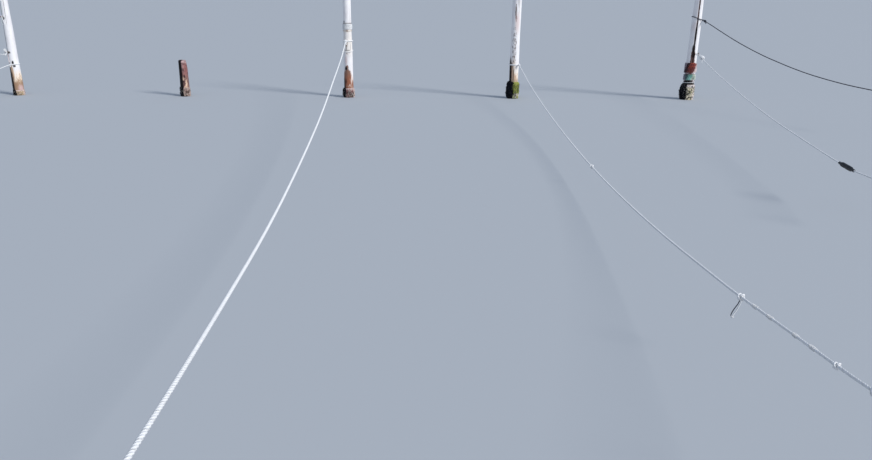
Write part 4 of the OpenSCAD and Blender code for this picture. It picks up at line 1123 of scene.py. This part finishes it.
# Yarns that have sprung out of the line and tangled round it
chance = np.random.default_rng(41)
for number, (k, share) in enumerate(((17, 0.4), (17, 0.8), (18, 0.33), (18, 0.63))):
    middle, turn = route[k].lerp(route[k + 1], share), along_way(route[k + 1] - route[k])
    yarn = zip(chance.uniform(0.0085, 0.0125, 26), np.arange(26) * 1.15, np.linspace(-0.03, 0.03, 26))
    tangle = [middle + turn @ Vector((r * cos(a), r * sin(a), z)) for r, a, z in yarn]
    frayed = rope(f"line_4_frayed_{number + 1}", smooth(tangle, 3), 0.0035, white_rope)
    ends["line_4"].append(ride(frayed, "white_rope"))

dark_run = [(0, 0, 0), (-0.001, 0, -0.012), (-0.008, -0.001, -0.03), (-0.019, -0.001, -0.05),
            (-0.029, 0, -0.07), (-0.037, 0.002, -0.092), (-0.042, 0.003, -0.112)]
pale_run = [(0, 0, 0), (0, 0, -0.012), (-0.003, 0.002, -0.032), (-0.011, 0.003, -0.056),
            (-0.022, 0.003, -0.082), (-0.034, 0.002, -0.104), (-0.042, 0.001, -0.12)]
tails = {"line_4_dark_tail": (-0.005, dark_run, dark_rope, "dark_rope", "line_4_tail"),
         "line_4_pale_tail": (0.005, pale_run, white_rope, "white_rope", "line_4_tail_pale")}
for name, (x, run, finish, slot, node) in tails.items():
    run = [route[17] + Vector((x, 0, -0.016)) + Vector(p) for p in run]
    ends["line_4"].append(ride(rope(name, smooth(run, 4), 0.007, finish), slot, node))
ends["line_4"].append(overhand("line_4_tail_knot", run[-1], Vector((0, 0, -1)), 0.0062))


# Eye bolt, ring and bowline of pile 5, and the rubber spring on its line.
# The bolt and ring are forged and galvanised. The line passes through the ring and back on
# itself in a bowline, and runs through a ribbed rubber bar that takes its snatch.
refinish("pile_5_eye_bolt", galvanised)
refinish("pile_5_ring", galvanised)
d, route = laid["line_5_white"][2:]
ring_r, bar_r, eye_r, apart = 0.034, 0.005, 0.015, 0.0003
bolt_z, bolt_a, bolt_out = 1.016, -44, 0.031
bolt_eye = at_log("pile_5", bolt_z, radians(bolt_a), bolt_out)
pull = (route[0] - bolt_eye).normalized()
ring_middle = bolt_eye + pull * (eye_r - bar_r - bar_r - apart + ring_r)
loop_near = ring_middle + pull * (ring_r - bar_r - d / 2 - apart)
loop_far = route[0] - pull * (d / 2 + apart)
long = (loop_far - loop_near).length
turn = along_way(pull) @ Matrix.Rotation(pi / 2, 3, "Z")
half = 1.15 * d
up_side = [(half, 0.4 * long), (0.8 * half, 0.7 * long), (0.6 * half, long - 0.02)]
loop = [(half * cos(a), half + half * sin(a)) for a in np.linspace(pi, 2 * pi, 9)]
loop += up_side + [(0, long)] + [(-x, z) for x, z in up_side[::-1]]
loop = [loop_near + turn @ Vector((x, 0, z)) for x, z in loop]
loop = smooth(loop + loop[:1], 4)[:-1]
ride(rope("line_5_bowline_loop", loop, d, white_rope, closed=True), "white_rope", "line_5_bowline")
wraps, rounds, count = [], 10.3, 240
for k in range(count + 1):
    share = k / count
    a = 2 * pi * rounds * share
    swell = d * (1.7 + sin(pi * share) + 0.08 * sin(3 * a))
    up = long - 11.1 * d + 10.9 * d * share
    wraps.append(loop_near + turn @ Vector((swell * cos(a), 0.92 * swell * sin(a), up)))
end = wraps[-1]
wraps += [end + Vector(p) for p in (
    (-0.001, -0.002, -0.024), (-0.004, -0.005, -0.05), (-0.008, -0.007, -0.078), (-0.01, -0.006, -0.108))]
ride(rope("line_5_bowline_wraps", wraps, d, white_rope), "white_rope")

# The spring: a bar waisted at its two ends, with shallow ribs along its middle
rubber, tree = new_finish("black rubber")
spot = spot_in(tree)
dust, grime = noise_of(spot, 30.0, 4.0), noise_of(spot, 260.0, 2.0)
hue = mix_of(step_of(dust, 0.45, 0.75), (0.012, 0.012, 0.013), (0.06, 0.058, 0.055))
surface(tree, Base_Color=hue, Roughness=scaled(dust, 0.3, 0.35), Normal=bump(grime, 0.0004))
waist = [(-0.21, 0.0082), (-0.21, 0.0145), (-0.204, 0.0158), (-0.18, 0.0162), (-0.16, 0.0172),
         (-0.14, 0.0205), (-0.12, 0.0262)]
ribbed, bar_r, groove_deep, steps = 0.24, 0.0262, 0.0024, 17 * 4
ribs = [(ribbed * (k / steps - 0.5), bar_r - groove_deep * (1 - cos(pi * k / 2)) / 2)
        for k in range(steps + 1)]
outline = waist + ribs + [(-z, r) for z, r in waist[::-1]][1:]
turn = along_way(route[13] - route[12])
round_bar = 2 * np.pi * np.arange(40) / 40
rings = [[route[12] + turn @ Vector((r * cos(a), r * sin(a), z)) for a in round_bar] for z, r in outline]
spring = shell_of_rings("line_5_rubber_spring", np.array(rings), {}, tube=True)
spring.data.materials.append(rubber)
ends["line_5_white"].append(ride(spring, "black_rubber", "line_5_spring"))
